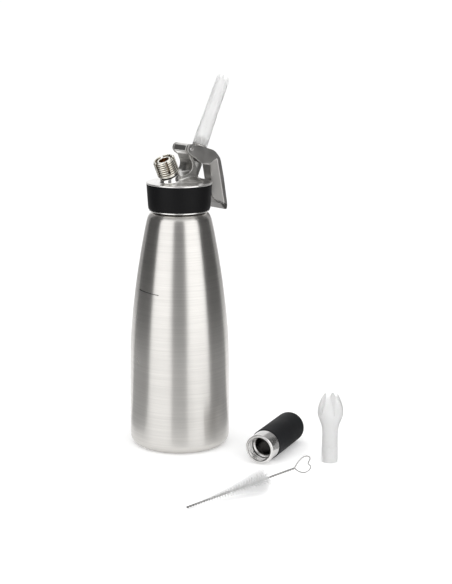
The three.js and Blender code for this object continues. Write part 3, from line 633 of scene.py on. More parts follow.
BOTTLE_STEEL = brushed_bottle()
DISC_STEEL = turned_steel()
TOWER_SATIN = cast_steel("tower_satin_steel", (0.41, 0.4, 0.38), 0.34, 0.46, (0.7, 0.69, 0.67))
# Darker copy of the tower's steel for the valve boss: painted shade.
BOSS_SHADED_STEEL = cast_steel("boss_painted_shade_steel", (0.27, 0.265, 0.255), 0.36, 0.48, (0.5, 0.49, 0.47))
TOWER_BRIGHT = cast_steel("tower_bright_steel", (0.74, 0.73, 0.71), 0.24, 0.34, (0.88, 0.87, 0.85))
TOWER_POLISHED = cast_steel("tower_polished_steel", (0.74, 0.73, 0.71), 0.07, 0.15, (0.9, 0.89, 0.87))
LEVER_METAL = cast_steel("lever_satin_metal", (0.48, 0.47, 0.455), 0.3, 0.42, (0.52, 0.51, 0.49))
# Darker copy of the lever's metal: painted shade on the handle's flange band and underside.
LEVER_SHADED = cast_steel("lever_painted_shade_metal", (0.2, 0.195, 0.19), 0.3, 0.42, (0.3, 0.29, 0.28))
NICKEL = plated("connector_bright_nickel", (0.88, 0.86, 0.79), 0.12, 0.2)
# Darker, brownish copy of the nickel: painted shade in the thread roots and hollow.
NICKEL_SHADED = plated("connector_painted_shade_nickel", (0.3, 0.25, 0.19), 0.25, 0.38)
HOLDER_STEEL = plated("holder_bright_steel", (0.66, 0.65, 0.64), 0.16, 0.28, (900, 900, 2600))
BRASS = plated("piercer_brass", (0.62, 0.42, 0.24), 0.18, 0.3)
WIRE = wire_steel("wire_drawn_steel", (0.4, 0.395, 0.385))
STEM_STEEL = wire_steel("stem_turned_steel", (0.62, 0.61, 0.6))
COLLAR_RUBBER = soft_rubber("collar_black_silicone", (0.004, 0.004, 0.0045), 0.5, 0.14)
SEAL_RUBBER = soft_rubber("seal_black_silicone", (0.012, 0.012, 0.012), 0.5, 0.3)
BROWN_RUBBER = soft_rubber("seal_brown_rubber", (0.06, 0.03, 0.018), 0.5, 0.3)
GREY_RUBBER = soft_rubber("gasket_grey_silicone", (0.6, 0.6, 0.58), 0.55, 0.4)
GRIP_RUBBER = soft_rubber("holder_black_grip", (0.009, 0.0095, 0.011), 0.62, 0.22, 2200)
MILKY = milky_plastic("tulip_milky_plastic", 0.5, 1.35, (0.82, 0.82, 0.81))
CLEARER = milky_plastic("straight_tip_plastic", 0.7, 1.32, (0.62, 0.62, 0.62))
CLEAR = {"transmission_weight": 0.45, "ior": 1.3}
NYLON = plain("bristle_clear_nylon", (0.96, 0.96, 0.96), 0.4, 400, 3, 0.08, 0.28, 0.45, **CLEAR)
INK = plain("fill_mark_ink", (0.03, 0.03, 0.03), 0.5, 1800, 3, 0.5, 0.42, 0.6)


# Bottle


BOTTLE_WALL = spline(
    [
        (48.5, 9), (48.52, 24), (48.52, 44), (48.42, 66), (48.2, 88), (47.8, 102), (47.05, 114),
        (46.05, 126), (44.85, 138), (43.45, 150), (41.9, 162), (40.15, 174), (38.2, 186),
        (36.15, 198), (33.95, 210), (32.05, 219), (31.0, 223.2), (29.75, 226.4), (27.6, 228.9),
        (25.9, 229.9), (24.95, 230.9), (NECK_RADIUS, NECK_BOTTOM),
    ]
)


def bottle():
    fillet = arc(39.5, 9, 9, -math.pi / 2, 0, 10)
    neck = [(NECK_RADIUS, NECK_BOTTOM + 0.35 * k) for k in range(1, 41)]
    rim = [(NECK_RADIUS, MOUTH_TOP - 1.4, 0), (NECK_RADIUS, MOUTH_TOP, 0.7)]
    rim += [(MOUTH_RADIUS, MOUTH_TOP, 0.7), (MOUTH_RADIUS, MOUTH_TOP - 2, 0)]
    inside = [(r - 1, z - 0.3) for r, z in reversed(BOTTLE_WALL) if 20 < z < 229.5]
    floor = [(max(r - 1, 0), z + 1.3) for r, z in reversed(fillet)]
    outline = [(0, 0.6), (36, 0.6), (37.5, 0.1), *fillet, *BOTTLE_WALL[1:], *neck, *eased(rim)]
    outline += [(MOUTH_RADIUS, 229), *inside, *floor, (0, 1.5)]
    surface = turned(outline, 168, screw(*BOTTLE_THREAD, SCREW_PITCH, 0.9, 1.6))
    new_piece("bottle", "bottle_shell", surface, "bottle", [BOTTLE_STEEL])
    fill_mark()


def fill_mark():
    """The thin printed line that shows how far to fill."""
    radii, heights = zip(*BOTTLE_WALL)
    first, last = math.radians(-195), math.radians(-159)
    vertices = []
    for k in range(MARK_STEPS + 1):
        share = k / MARK_STEPS
        angle = first + (last - first) * share
        for edge in (0, 0.95 - 0.25 * share):
            height = FILL_HEIGHT + 1.7 * (1 - share) + edge
            radius = np.interp(height, heights, radii) + 0.06
            vertices.append(at(radius, angle, height))
    faces = [[a, a + 2, a + 3, a + 1] for a in range(0, 2 * MARK_STEPS, 2)]
    new_piece("fill_mark", None, (vertices, faces), "bottle", [INK])


# Head


def tower_point(share_x, share_z):
    return (PIVOT[0] + PIVOT_HEIGHT * share_x, PIVOT[1] + PIVOT_HEIGHT * share_z)


def leaning(place, lean):
    """Reads a place as its distance from a leaning axis and its height along it."""
    sine, cosine = math.sin(lean), math.cos(lean)

    def read(x, y, z):
        dx, dz = x - place[0], z - place[2]
        across = dx * cosine - dz * sine
        return np.sqrt(across * across + y * y), dx * sine + dz * cosine

    return read


in_valve = leaning(VALVE_FOOT, VALVE_LEAN)
in_charger = leaning(CHARGER_TOP, CHARGER_LEAN)


def from_pivot(x, z):
    return np.sqrt((x - PIVOT[0]) ** 2 + (z - PIVOT[1]) ** 2)


def between(value, low, high):
    """Distance outside a span, negative within it."""
    return np.maximum(low - value, value - high)


def head_top(x, y):
    """The height of the head's top, which swells to a low cone round the tower."""
    out = np.sqrt((x - MOUND_X) ** 2 + y * y)
    rise = MOUND_RISE * (MOUND_RADIUS - out) / (MOUND_RADIUS - MOUND_SHOULDER)
    return DISC_TOP + smin(smax(rise, 0, 1.2), MOUND_RISE + 0.7, 1.5)


def head_field():
    scoop = tower_point(-0.155, -0.487)
    toe = [tower_point(*p) for p in ((-0.38, -1.1), (-0.38, -0.845), (-0.335, -0.8))]
    to_scoop = math.atan2(scoop[1] - PIVOT[1], scoop[0] - PIVOT[0])
    touch = (PIVOT[0] + KNUCKLE_RADIUS * math.cos(to_scoop), PIVOT[1] + KNUCKLE_RADIUS * math.sin(to_scoop))
    hollow = arc(*scoop, SCOOP_RADIUS, math.radians(-70), math.radians(40), 14)
    back = ((0.142, -0.02), (0.142, -0.234), (0.165, -0.316), (0.26, -0.645), (0.26, -1.1))
    column = polygon([*toe, *hollow, touch, *(tower_point(*p) for p in back)])
    flare_top, flare_foot = tower_point(0, -0.22)[1], tower_point(0, -0.62)[1]

    def field(x, y, z):
        r = np.sqrt(x * x + y * y)
        half = np.abs(y)
        slab = smax(smax(r - RIM_RADIUS, (z - head_top(x, y)) * 0.92, 1.4), RIM_BOTTOM - z, 1.3)
        skirt = np.maximum(r - SKIRT_RADIUS, between(z, SKIRT_BOTTOM, RIM_BOTTOM + 0.5))
        lip = smax(r - LIP_RADIUS, between(z, SKIRT_BOTTOM, LIP_TOP), 0.9)
        body = np.minimum(np.minimum(slab, skirt), lip)
        pivot = from_pivot(x, z)
        flare = smooth(np.clip((flare_top - z) / (flare_top - flare_foot), 0, 1))
        tower = smax(column(x, z), half - TOWER_HALF - (FOOT_HALF - TOWER_HALF) * flare, 0.6)
        tower = smin(tower, smax(pivot - KNUCKLE_RADIUS, half - TOWER_HALF, 0.6), 0.7)
        rho, s = in_valve(x, y, z)
        boss = smax(rho - HOUSING_RADIUS, between(s, -SEAT_DEPTH + 6, HOUSING_TOP), 0.9)
        boss = np.maximum(boss, DISC_UNDERSIDE + 0.6 - z)
        inner = smax(rho - 5.8, between(s, -SEAT_DEPTH, -SEAT_DEPTH + 8), 0.5)
        rho_c, s_c = in_charger(x, y, z)
        base = smax(polar(x - PEDESTAL_X, y)[0] - PEDESTAL_RADIUS, s_c + 18.1, 0.7)
        base = np.maximum(base, DISC_TOP - 1.8 - z)
        upper = smin(smin(tower, boss, 0.8), base, 0.9)
        body = smin(body, upper, 1.8)
        recess = np.maximum(r - RECESS_RADIUS, z - RECESS_TOP)
        bore = np.maximum(r - SKIRT_BORE, z - DISC_UNDERSIDE)
        body = smax(body, -np.minimum(recess, bore), 0.5)
        body = smin(body, inner, 0.4)
        holes = np.minimum(np.maximum(rho - SPRING_BORE, SPRING_FLOOR - s), rho - STEM_BORE)
        for radius, end in (
            (rho - 4.6, s + SEAT_DEPTH - 3),
            (rho_c - 5.5, s_c + 1),
            (pivot - PIN_RADIUS - 0.3, between(z, 280, 300)),
        ):
            holes = np.minimum(holes, np.maximum(radius, end))
        return smax(body, -holes, 0.4)

    return field


def cap():
    step = 0.4
    surface = net(head_field(), (-33, -33, 230), (33, 33, 296.5), step)
    metals = [DISC_STEEL, TOWER_SATIN, TOWER_BRIGHT, TOWER_POLISHED, BOSS_SHADED_STEEL]
    piece = new_piece("head_casting", "head_cap", surface, "head", metals)
    vertices, faces, normals = surface
    x, y, z = vertices[faces].mean(1).T
    forward, sideways, _ = normals[faces].mean(1).T
    above = z > head_top(x, y) + 0.7
    # The valve boss's faces take the darker steel as painted shade.
    boss = in_valve(x, y, z)[0] < HOUSING_RADIUS + 0.3
    tower = (x > -7) & (x < PIVOT[0] + 3.5) & (np.abs(y) < FOOT_HALF + 0.2)
    barrel = from_pivot(x, z) < KNUCKLE_RADIUS + 0.4
    pedestal = (np.hypot(x - PEDESTAL_X, y) < PEDESTAL_RADIUS + 0.4) & (x < -2.4)
    kind = np.zeros(len(faces), np.int32)
    for chosen, metal in (
        (above, TOWER_SATIN),
        (above & boss, BOSS_SHADED_STEEL),
        (above & tower & (np.abs(sideways) < 0.45) & (forward > -0.75), TOWER_BRIGHT),
        (barrel & (np.abs(sideways) < 0.6), TOWER_POLISHED),
        (above & pedestal, TOWER_POLISHED),
    ):
        kind[chosen] = metals.index(metal)
    piece.data.polygons.foreach_set("material_index", kind)
    inner_thread()


def inner_thread():
    """The screw thread inside the skirt."""
    low, high = SKIRT_BOTTOM + 2.5, SKIRT_BOTTOM + 12.5
    outline = [(SKIRT_BORE + 0.05, low + (high - low) * k / 40) for k in range(41)]
    outline += [(SKIRT_BORE + 0.5, high), (SKIRT_BORE + 0.5, low)]
    vertices, faces = turned(outline, 144, screw(low, high, SCREW_PITCH, -0.7, 1.4))
    inward = [face[::-1] for face in faces]
    new_piece("head_inner_thread", None, (vertices, inward), "head", [TOWER_SATIN])


def collar():
    low, high = 233.0, 256.7
    corners = [(SKIRT_RADIUS + 0.3, low, 0.4), (29.7, low, 2.0), (30.1, 236.5, 6)]
    corners += [(31.4, high, 0.6), (SKIRT_RADIUS + 0.3, high, 0.3)]
    sleeve = turned(filleted(corners, 6), 144)
    new_piece("collar_sleeve", "collar_grip", sleeve, "head", [COLLAR_RUBBER])


def gasket():
    corners = [(21.5, 248.3, 0.6), (24.6, 248.3, 0.6), (24.6, 250.7, 0.6), (21.5, 250.7, 0.6)]
    ring = turned(filleted(corners, 4), 96)
    new_piece("gasket_ring", "head_gasket", ring, "head_seal", [GREY_RUBBER])


def pin():
    end = LEVER_HALF + 0.5
    half = [(0, end - 0.35), (0.55, end - 0.35), (0.8, end), (1.25, end)]
    half += [(1.62, end - 0.25), (PIN_RADIUS, end - 0.6)]
    outline = [(r, -h) for r, h in half] + [(r, h) for r, h in reversed(half)]
    place = turn_and_place((PIVOT[0], 0, PIVOT[1]), (math.pi / 2, "X"))
    surface = turned(outline, 32)
    new_piece("pivot_pin_turned", "pivot_pin", surface, "head", [STEM_STEEL], place)


# Lever


def lever_point(share_reach, share_drop):
    return (PIVOT[0] + LEVER_REACH * share_reach, PIVOT[1] + LEVER_DROP * share_drop)


def left_of(start, end):
    """How far a place is to the left of a line, in the lever's plane."""
    along = (Vector(end) - Vector(start)).normalized()
    return lambda x, z: along.x * (z - start[1]) - along.y * (x - start[0])


LEVER_OUTLINE = (
    (-0.02, 0.073, 0), (0.18, 0.049, 8), (0.42, -0.005, 10), (0.65, -0.062, 16), (0.8, -0.19, 12),
    (0.895, -0.484, 60), (1, -0.922, 60), (0.985, -0.995, 3), (0.925, -1, 3), (0.8, -0.895, 5),
    (0.7, -0.78, 8), (0.655, -0.516, 40), (0.62, -0.285, 3), (0.535, -0.242, 4), (0.29, -0.242, 3),
    (0.125, -0.155, 6), (-0.06, -0.068, 0),
)
FLANGE_HIGH, FLANGE_LOW = lever_point(0.7, -0.17), lever_point(0.915, -0.93)
past_handle_face = left_of(FLANGE_LOW, lever_point(0.672, -0.83))


def lever_field():
    """The handle's slanted faces run from its flange, at full width, in to its narrow inner edge."""
    outline = polygon(filleted([(*lever_point(a, b), radius) for a, b, radius in LEVER_OUTLINE], 5))
    edge = [(x - 2, z) for x, z in (lever_point(0.6, -0.235), lever_point(0.715, -0.83))]
    flange = Vector(FLANGE_LOW) - Vector(FLANGE_HIGH)
    inward = Vector((flange.y, -flange.x)).normalized()
    slope = (LEVER_HALF - EDGE_HALF) / (sum(inward.dot(Vector(p) - Vector(FLANGE_HIGH)) for p in edge) / 2)
    scale = 1 / math.hypot(1, slope)
    above_face = left_of(FLANGE_HIGH, edge[0])

    def field(x, y, z):
        half = np.abs(y)
        pivot = from_pivot(x, z)
        side = np.minimum(outline(x, z), pivot - KNUCKLE_RADIUS)
        plate = smax(side, half - LEVER_HALF, 0.5)
        reach = inward.x * (x - FLANGE_HIGH[0]) + inward.y * (z - FLANGE_HIGH[1])
        cut = smax((LEVER_HALF - slope * reach - half) * scale, -above_face(x, z), 2.2)
        cut = smax(cut, past_handle_face(x, z), 2.2)
        plate = smax(plate, -cut, 0.35)
        channel = np.maximum(half - CHEEK_INSIDE, x - PIVOT[0] - BRIDGE_START)
        plate = smax(plate, -channel, 0.6)
        plate = smax(plate, PIN_RADIUS + 0.3 - pivot, 0.5)
        lug = np.sqrt((x - VALVE_FOOT[0]) ** 2 + (z - VALVE_FOOT[2]) ** 2) - 1.6
        lug = smax(lug, between(half, 5.3, CHEEK_INSIDE + 1.2), 0.5)
        return smin(plate, lug, 0.6)

    return field


def lever():
    step = 0.36
    surface = net(lever_field(), (0.2, -12, 226.6), (54, 12, 296.4), step)
    piece = new_piece("lever_casting", "lever", surface, "lever", [LEVER_METAL, LEVER_SHADED])
    vertices, faces, normals = surface
    x, y, z = vertices[faces].mean(1).T
    # Painted shade: the flange past the slanted face and the downward faces take the darker metal.
    end = (past_handle_face(x, z) > -1.8) & (np.abs(y) > EDGE_HALF) & (x > lever_point(0.6, 0)[0])
    shaded_underside = (normals[faces].mean(1)[:, 2] < -0.2) & (z < lever_point(0, -0.6)[1])
    piece.data.polygons.foreach_set("material_index", (end | shaded_underside).astype(np.int32))


# Valve


def adaptor():
    thread = screw(COLLAR_TOP + 0.6, COLLAR_TOP + 6.6, 2.4, 0.4, 0.9, origin=COLLAR_TOP + 1.2)

    def knurl_and_thread(angles, radius, height):
        if COLLAR_BOTTOM + 0.3 < height < COLLAR_TOP - 0.3:
            return -0.35 * (0.5 + 0.5 * np.cos(20 * angles))
        return thread(angles, radius, height)

    lower = [(STEM_BORE, FLANGE_BOTTOM, 0.2), (7.8, FLANGE_BOTTOM, 0.4), (7.8, FLANGE_TOP, 0.5)]
    lower += [(4.7, FLANGE_TOP, 0.6), (4.7, COLLAR_BOTTOM, 0.5), (6.9, COLLAR_BOTTOM, 0.4)]
    ribs = [(6.9, COLLAR_BOTTOM + 0.4 + 0.3 * k) for k in range(9)]
    shoulder = [(6.9, COLLAR_TOP - 0.4, 0), (6.9, COLLAR_TOP, 0.4), (5, COLLAR_TOP, 0.2)]
    stub = [(5, COLLAR_TOP + 0.2 * k) for k in range(1, 36)]
    mouth = [(5, 17.0, 0.3), (2.6, 17.0, 0.3), (2.6, 2.3, 0.2), (STEM_BORE, 2.3, 0.2)]
    outline = [*eased(lower, 4), *ribs, *eased(shoulder, 3), *stub]
    outline += eased(mouth, 3)
    surface = turned(outline, 80, knurl_and_thread)
    new_piece("adaptor_turned", "nozzle_adaptor", surface, "valve", [TOWER_SATIN], VALVE)


def stem():
    outline = [(0, -39.4), *filleted([(4.6, -39.4, 0.4), (4.6, -37.9, 0.4), (STEM_RADIUS, -37.9, 0.2)], 3)]
    for depth in RING_DEPTHS:
        outline += [(STEM_RADIUS, -depth - 0.9), (3.1, -depth - 0.8), (2.1, -depth - 0.75)]
        outline += [(2.1, -depth + 0.75), (3.1, -depth + 0.8), (STEM_RADIUS, -depth + 0.9)]
    top = [(STEM_RADIUS, 1.0, 0), (STEM_RADIUS, 2.0, 0.4), (1.2, 2.0, 0.3), (1.2, 0, 0)]
    outline += [*eased(top, 3), (1.2, -33.5), (0, -33.9)]
    new_piece("stem_turned", "valve_stem", turned(outline, 48), "valve", [STEM_STEEL], VALVE)


def soft_ring(name, node, inner, outer, low, high, body, material, matrix):
    fillet = min(outer - inner, high - low) * 0.3
    corners = [(inner, low, fillet), (outer, low, fillet), (outer, high, fillet), (inner, high, fillet)]
    new_piece(name, node, turned(filleted(corners), 64), body, [material], matrix)


def o_ring(name, node, depth):
    section = arc(2.8, -depth, 0.5, 0, TURN, 16)[:-1]
    new_piece(name, node, turned(section, 64), "valve", [SEAL_RUBBER], VALVE)


def spring():
    low, high = SPRING_FLOOR + 0.8, FLANGE_BOTTOM - 0.8
    points = []
    for k in range(COIL_TURNS * 40 + 1):
        share = k / (COIL_TURNS * 40)
        angle = TURN * COIL_TURNS * share
        lift = np.clip((share - 0.08) / 0.84, 0, 1)
        points.append(at(COIL_RADIUS, angle, low + (high - low) * lift))
    coil = tube(points, 0.5, 12)
    piece = new_piece("valve_coil", "valve_spring", coil, "head", [WIRE], VALVE)
    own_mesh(piece)


# Charger connector


CONNECTOR_THREAD = screw(-15.8, -0.6, CHARGER_PITCH, 0.8, 0.8)


def connector_field(x, y, z):
    rho, angle = polar(x, y)
    outer = smax((rho - 9.9 - CONNECTOR_THREAD(angle, rho, z)) * 0.75, between(z, -HEAD_LENGTH, 0), 0.6)
    shank = np.maximum(rho - 5.2, between(z, -31, 1 - HEAD_LENGTH))
    nipple = np.maximum(rho - 2.6, between(z, -36.2, -30))
    body = np.minimum(outer, np.minimum(shank, nipple))
    hollow = np.maximum(rho - 8.3, -14 - z)
    body = smax(body, -hollow, 0.5)
    across = np.abs(rho * np.sin(folded(angle, 6, TURN / 12)))
    slot = smax(across - 1.1, np.maximum(-12.5 - z, 7.4 - rho), 0.3)
    body = smax(body, -slot, 0.4)
    post = smax(rho - 6.6, np.maximum(z + 1, -15 - z), 0.5)
    post = smax(post, -np.maximum(rho - 4.9, -13.5 - z), 0.5)
    return np.maximum(np.minimum(body, post), 1.2 - rho)


def connector():
    step = 0.24
    surface = net(connector_field, (-11.6, -11.6, -37), (11.6, 11.6, 0.8), step, passes=4)
    metals = [NICKEL, NICKEL_SHADED, BRASS]
    piece = new_piece("connector_turned", "charger_connector", surface, "head", metals, CHARGER)
    vertices, faces, _ = surface
    x, y, z = vertices[faces].mean(1).T
    rho = np.hypot(x, y)
    # Painted shade: the thread roots and the hollow take the darker nickel.
    shaded_roots = (rho > 8.6) & (rho < 10.2) & (z < -0.9) & (z > -15.4)
    hollow = (rho < 8.0) & (z < -1.6) & (z > -15)
    kind = (shaded_roots | hollow).astype(np.int32)
    kind[(rho < 5.6) & (z > -14) & (z < -1.3)] = metals.index(BRASS)
    piece.data.polygons.foreach_set("material_index", kind)
    soft_ring("washer_ring", "connector_washer", 5.5, 8.4, -17.8, -16.8, "head", SEAL_RUBBER, CHARGER)
    body = eased([(4.6, -13.2, 0.3), (4.6, -9.5, 0.4), (0.9, -9.5, 0.3), (0.9, -7.5, 0.4)], 3)
    needle = turned([(0, -13.2), *body, (0, -5.5)], 40)
    new_piece("piercer_turned", "piercer", needle, "head", [BRASS], CHARGER)
    soft_ring("charger_ring", "charger_seal", 1.2, 4.6, -9.2, -7.6, "head", BROWN_RUBBER, CHARGER)
    side = eased([(4.1, -37.3, 0.5), (4.1, -31.3, 0.4), (2.9, -31.3, 0.3), (2.9, -36.5, 0)], 4)
    sleeve = turned([(0, -37.3), *side, (0, -36.5)], 56)
    name, node = "check_sleeve_moulded", "check_valve_sleeve"
    new_piece(name, node, sleeve, "head", [GREY_RUBBER], CHARGER)


# Tips


def straight_tip_field(x, y, z):
    rho, angle = polar(x, y)
    up = z - TIP_SEAT
    lower = 7.25 - 0.15 * up / TIP_RING + 0.07 * np.cos(16 * angle) * fade(up, 0.5, 9, 2)
    upper = 6.95 - (6.95 - 6.2) * (up - TIP_RING) / (TIP_LENGTH - TIP_RING)
    flutes = 0.3 * np.cos(8 * angle + math.pi) * np.clip((up - 18) / 36, 0, 1)
    outside = rho - np.where(up < TIP_RING, lower, upper + flutes)
    inside = rho - np.where(up < 9, 5.7, np.where(up < TIP_RING, 5.75, upper - 1.25))
    wall = smax(outside, -inside, 0.3)
    wall = smax(wall, between(up, 0, TIP_LENGTH), 0.6)
    opening = 2.35 * np.clip((up - TIP_TEETH) / 7.4, 0, 1.3) ** 0.85
    notch = np.maximum(np.abs(rho * np.sin(folded(angle, 8))) - opening, TIP_TEETH - up)
    return smax(wall, -notch, 0.35)


def straight_tip():
    step = 0.3
    surface = net(straight_tip_field, (-8.2, -8.2, 9), (8.2, 8.2, 83.6), step)
    name, node = "straight_tip_moulded", "straight_tip"
    new_piece(name, node, surface, "straight_tip", [CLEARER], VALVE)


TULIP_OUTSIDE = spline(
    [
        (7.55, 0), (7.5, 8), (7.45, 15.2), (7.3, 22), (7.45, 31), (8.6, 36.5), (10.4, 41.5), (11.75, 46),
        (11.85, 50), (10.9, 55), (9.1, 60.5), (6.6, TULIP_LENGTH),
    ],
    6,
)


def tulip_field(x, y, z):
    radii, heights = np.array(TULIP_OUTSIDE).T
    rho, angle = polar(x, y)
    outside = np.interp(z, heights, radii)
    groove = 0.3 * (np.exp(-(((z - 15.2) / 0.55) ** 2)) + 0.6 * np.exp(-(((z - 18.4) / 0.5) ** 2)))
    ribs = 0.09 * np.cos(24 * angle) * fade(z, 1, 14.4, 1.5)
    petal = np.clip((z - 40) / 20, 0, 1)
    bulge = 0.55 * np.cos(3 * folded(angle, 6, TURN / 12)) * petal
    middle = outside - TULIP_HALF_WALL + bulge - groove + ribs
    shell = smax((np.abs(rho - middle) - TULIP_HALF_WALL) * 0.85, between(z, 0, TULIP_LENGTH), 0.6)
    opening = 2.5 * np.clip((z - TULIP_PETALS) / 18, 0, 1.2) ** 0.9
    notch = np.maximum(np.abs(rho * np.sin(folded(angle, 6))) - opening, TULIP_PETALS - z)
    return smax(shell, -notch, 0.5)


def tulip_tip():
    step = 0.32
    surface = net(tulip_field, (-13.5, -13.5, -0.6), (13.5, 13.5, 66.6), step)
    new_piece("tulip_tip_moulded", "tulip_tip", surface, "tulip_tip", [MILKY], TULIP)


# Charger holder


def holder():
    outside = [(HOLDER_BORE, 0, 0), (13.1, 0, 0.3), (14, 0.9, 0.4), (14, 16, 0.25), (13, 16, 0.2)]
    outside += [(13, HOLDER_LENGTH, 5), (0, HOLDER_LENGTH, 0)]
    bore = [(0, 77.5, 0), (9.4, 77.5, 3), (9.4, 13.4, 0.3), (10.9, 12.2, 0.3), (HOLDER_BORE, 12.2, 0)]
    rows = [(HOLDER_BORE, 12.0 - 0.2 * k) for k in range(58)]
    outline = [*eased(bore, 5), *rows, *eased(outside, 6)]
    surface = turned(outline, 112, screw(1, 11, CHARGER_PITCH, -0.7, 0.9, widest=HOLDER_BORE + 0.3))
    new_piece("holder_turned", "charger_holder", surface, "charger_holder", [HOLDER_STEEL], HOLDER)


def grip():
    corners = [(0, 81.8, 0), (13.3, 81.8, 5), (13.3, 16.3, 0.3)]
    corners += [(GRIP_RADIUS, 16.3, 0.7), (GRIP_RADIUS, 83.8, 8), (0, 83.8, 0)]
    sleeve = turned(eased(corners, 9), 112)
    material = [GRIP_RUBBER]
    piece = new_piece("grip_sleeve", "holder_grip", sleeve, "charger_holder", material, HOLDER)
    piece.visible_glossy = False


# Cleaning brush


def bristles():
    """Clear filaments that stand out from the twisted wire in a double helix, longer towards the handle."""
    random = np.random.RandomState(11)
    vertices, faces = [], []
    for k in range(FILAMENTS):
        share = ((k + random.rand()) / FILAMENTS) ** 0.6
        height = BRISTLES_FROM + (BRISTLES_TO - BRISTLES_FROM) * share
        angle = TURN * height / WIRE_PITCH + (k % 2) * math.pi + random.normal(0, 0.16)
        reach = (1.7 + 10.0 * share**2) * random.uniform(0.88, 1.0)
        lean = random.normal(0.0, 0.35) * (0.3 + share)
        swing = random.normal(0, 0.03)
        tip = np.array(at(reach, angle + swing, height + lean))
        root = np.array(at(0.3, angle, height))
        along = (tip - root) / np.linalg.norm(tip - root)
        side = np.cross(along, (0, 0, 1))
        side /= np.linalg.norm(side)
        up = np.cross(side, along)
        first = len(vertices)
        for centre, radius in ((root, 0.085), (tip, 0.07)):
            for turn in (0, TURN / 3, 2 * TURN / 3):
                vertices.append(centre + radius * (side * math.cos(turn) + up * math.sin(turn)))
        faces += [[first + a, first + b, first + 3 + b, first + 3 + a] for a, b in ((0, 1), (1, 2), (2, 0))]
        faces.append([first + 3, first + 4, first + 5])
    surface = (vertices, faces)
    piece = new_piece("brush_filaments", "brush_bristles", surface, "cleaning_brush", [NYLON], BRUSH)
    piece.visible_shadow = False


def brush_wire():
    """Two strands twisted round each other, with a heart-shaped loop at their end."""
    surface = ()
    for start in (0, math.pi):
        heights = [WIRE_FROM + 0.35 * k for k in range(int((WIRE_TO - WIRE_FROM) / 0.35) + 1)]
        points = [at(STRAND_RADIUS, TURN * height / WIRE_PITCH + start, height) for height in heights]
        surface = tube(points, STRAND_RADIUS, 10, *surface)
    half = [(0.0, 0.1), (0.26, 0.66), (0.58, 1.0), (0.88, 0.9), (1.0, 0.5), (0.86, 0.04)]
    side = [(7.6 * c, 0, LOOP_FOOT + 17.4 * a) for a, c in half]
    points = side + [(-x, y, z) for x, y, z in reversed(side[:-1])]
    surface = tube(spline(points, 8), 0.5, 10, *surface)
    new_piece("brush_twisted_wire", "brush_wire", surface, "cleaning_brush", [WIRE], BRUSH)


bottle()
gasket()
cap()
collar()
pin()
lever()
adaptor()
stem()
soft_ring("seal_ring", "valve_seal", STEM_BORE, 5.6, -37.6, -35.3, "valve", SEAL_RUBBER, VALVE)
o_ring("o_ring_lower", "stem_ring_lower", RING_DEPTHS[0])
o_ring("o_ring_upper", "stem_ring_upper", RING_DEPTHS[1])
spring()
connector()
straight_tip()
tulip_tip()
holder()
grip()
bristles()
brush_wire()


# Stage


SIDE, FRONT = math.sin(math.radians(CAMERA_TURN)), math.cos(math.radians(CAMERA_TURN))
TO_CAMERA = Vector((-SIDE, -FRONT, 0))
TO_RIGHT = Vector((FRONT, -SIDE, 0))


def around(degrees, distance, height):
    """A place round the object, at an angle to the right of the camera's direction."""
    angle = math.radians(degrees)
    place = (TO_CAMERA * math.cos(angle) + TO_RIGHT * math.sin(angle)) * distance
    return Vector((place.x, place.y, height))


def seen_rays(tree):
    """1 for rays that see the background: camera, glossy and transmission rays."""
    path = add_node(tree, "ShaderNodeLightPath").outputs
    seen = path["Is Camera Ray"]
    for ray in ("Is Glossy Ray", "Is Transmission Ray"):
        seen = add_node(tree, "ShaderNodeMath", {0: seen, 1: path[ray]}, operation="MAXIMUM").outputs[0]
    return seen


def quad(name, material_name, corners):
    """A flat face with a material of its own, whose empty node tree is returned too."""
    material = bpy.data.materials.new(material_name)
    material.use_nodes = True
    material.node_tree.nodes.clear()
    mesh = bpy.data.meshes.new(name)
    mesh.from_pydata([tuple(c) for c in corners], [], [(0, 1, 2, 3)])
    mesh.materials.append(material)
    return show(name, mesh), material.node_tree


def floor():
    """A white floor that also glows a little for the rays that see it, so that it meets the background."""
    corners = [(-60, -60, 0), (60, -60, 0), (60, 60, 0), (-60, 60, 0)]
    piece, tree = quad("stage_floor", "stage_floor_white", corners)
    diffuse = add_node(tree, "ShaderNodeBsdfDiffuse", {"Color": (0.86, 0.86, 0.86, 1)})
    level = add_node(tree, "ShaderNodeMath", {0: seen_rays(tree), 1: 0.26}, operation="MULTIPLY")
    glow = add_node(tree, "ShaderNodeEmission", {"Strength": level.outputs[0]})
    total = add_node(tree, "ShaderNodeAddShader", {0: diffuse.outputs[0], 1: glow.outputs[0]})
    add_node(tree, "ShaderNodeOutputMaterial", {"Surface": total.outputs[0]})


def world():
    made = bpy.data.worlds.new("studio")
    bpy.context.scene.world = made
    made.use_nodes = True
    tree = made.node_tree
    background = tree.nodes["Background"]
    background.inputs["Color"].default_value = (1, 1, 1, 1)
    inputs = {"Value": seen_rays(tree), "To Min": 0.9, "To Max": 1.0}
    strength = add_node(tree, "ShaderNodeMapRange", inputs).outputs[0]
    tree.links.new(strength, background.inputs["Strength"])


def dark_card(name, corners, level):
    """A dark studio card that only metal and gloss see."""
    piece, tree = quad(name, name, corners)
    glow = add_node(tree, "ShaderNodeEmission", {"Color": (level, level, level, 1)})
    add_node(tree, "ShaderNodeOutputMaterial", {"Surface": glow.outputs[0]})
    piece.visible_camera = False
    piece.visible_diffuse = False
    piece.visible_shadow = False
    piece.visible_transmission = False


def standing_card(name, degrees, distance, width, height, level):
    half = math.degrees(math.atan2(width / 2, distance))
    reach = math.hypot(distance, width / 2)
    low = [around(degrees + turn, reach, 0.002) for turn in (-half, half)]
    high = [place + Vector((0, 0, height)) for place in reversed(low)]
    dark_card(name, low + high, level)


def lying_card(name, degrees, near, far, width, level):
    half = math.degrees(math.atan2(width / 2, far))
    ends = ((-half, near), (half, near), (half, far), (-half, far))
    dark_card(name, [around(degrees + turn, distance, 0.001) for turn, distance in ends], level)


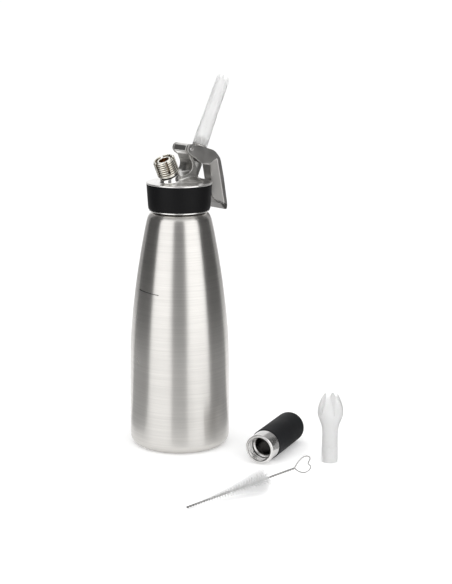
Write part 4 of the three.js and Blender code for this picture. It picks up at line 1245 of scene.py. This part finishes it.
def lamp(name, place, target, width, height, radiance, mirrored=True):
    data = bpy.data.lights.new(name, "AREA")
    data.shape = "RECTANGLE"
    data.size, data.size_y = width, height
    data.energy = radiance * math.pi * width * height
    made = show(name, data)
    made.location = place
    made.rotation_euler = (Vector(target) - Vector(place)).to_track_quat("-Z", "Y").to_euler()
    made.visible_glossy = mirrored


def camera():
    data = bpy.data.cameras.new("camera")
    data.sensor_fit = "AUTO"
    data.sensor_width = SENSOR
    data.lens = FOCAL_LENGTH / PHOTO_HEIGHT * SENSOR
    data.shift_x = PHOTO_SHIFT / PHOTO_HEIGHT
    data.clip_start = 0.05
    made = show("camera", data)
    made.location = TO_CAMERA * CAMERA_DISTANCE + TO_RIGHT * CAMERA_RIGHT + Vector((0, 0, CAMERA_HEIGHT))
    made.rotation_euler = (math.radians(90 - CAMERA_DOWN), 0, math.radians(-CAMERA_TURN))
    bpy.context.scene.camera = made


floor()
world()
standing_card("card_behind_camera", 0, 0.8, 0.5, 0.85, 0.27)
standing_card("card_left", -99, 0.55, 0.62, 0.95, 0.1)
standing_card("card_right", 99, 0.55, 0.62, 0.95, 0.1)
lying_card("card_floor_front", 0, 0.1, 0.8, 0.46, 0.7)
lying_card("card_floor_left", -99, 0.1, 0.55, 0.62, 0.5)
lying_card("card_floor_right", 99, 0.1, 0.55, 0.62, 0.4)
standing_card("card_far_left", -140, 0.75, 0.46, 0.95, 0.42)
standing_card("card_far_right", 140, 0.75, 0.46, 0.95, 0.42)
corners = ((0.5, -0.7), (0.5, 0.7), (0.02, 0.7), (0.02, -0.7))
dark_card("card_overhead", [TO_CAMERA * a + TO_RIGHT * b + Vector((0, 0, 1.25)) for a, b in corners], 0.38)
lamp("softbox_left", around(-45, 0.95, 0.5), (0, 0, 0.2), 0.85, 1.0, 0.55)
lamp("softbox_right", around(45, 0.95, 0.5), (0, 0, 0.2), 0.85, 1.0, 0.65)
lamp("softbox_top", (-0.15, -0.1, 1.3), (0, -0.05, 0), 1.1, 1.1, 0.6, False)
lamp("soft_fill", around(0, 1.3, 0.75), (0, 0, 0.15), 0.9, 0.9, 0.55, False)
camera()
bpy.context.scene.view_settings.view_transform = "Standard"

bpy.context.view_layer.update()
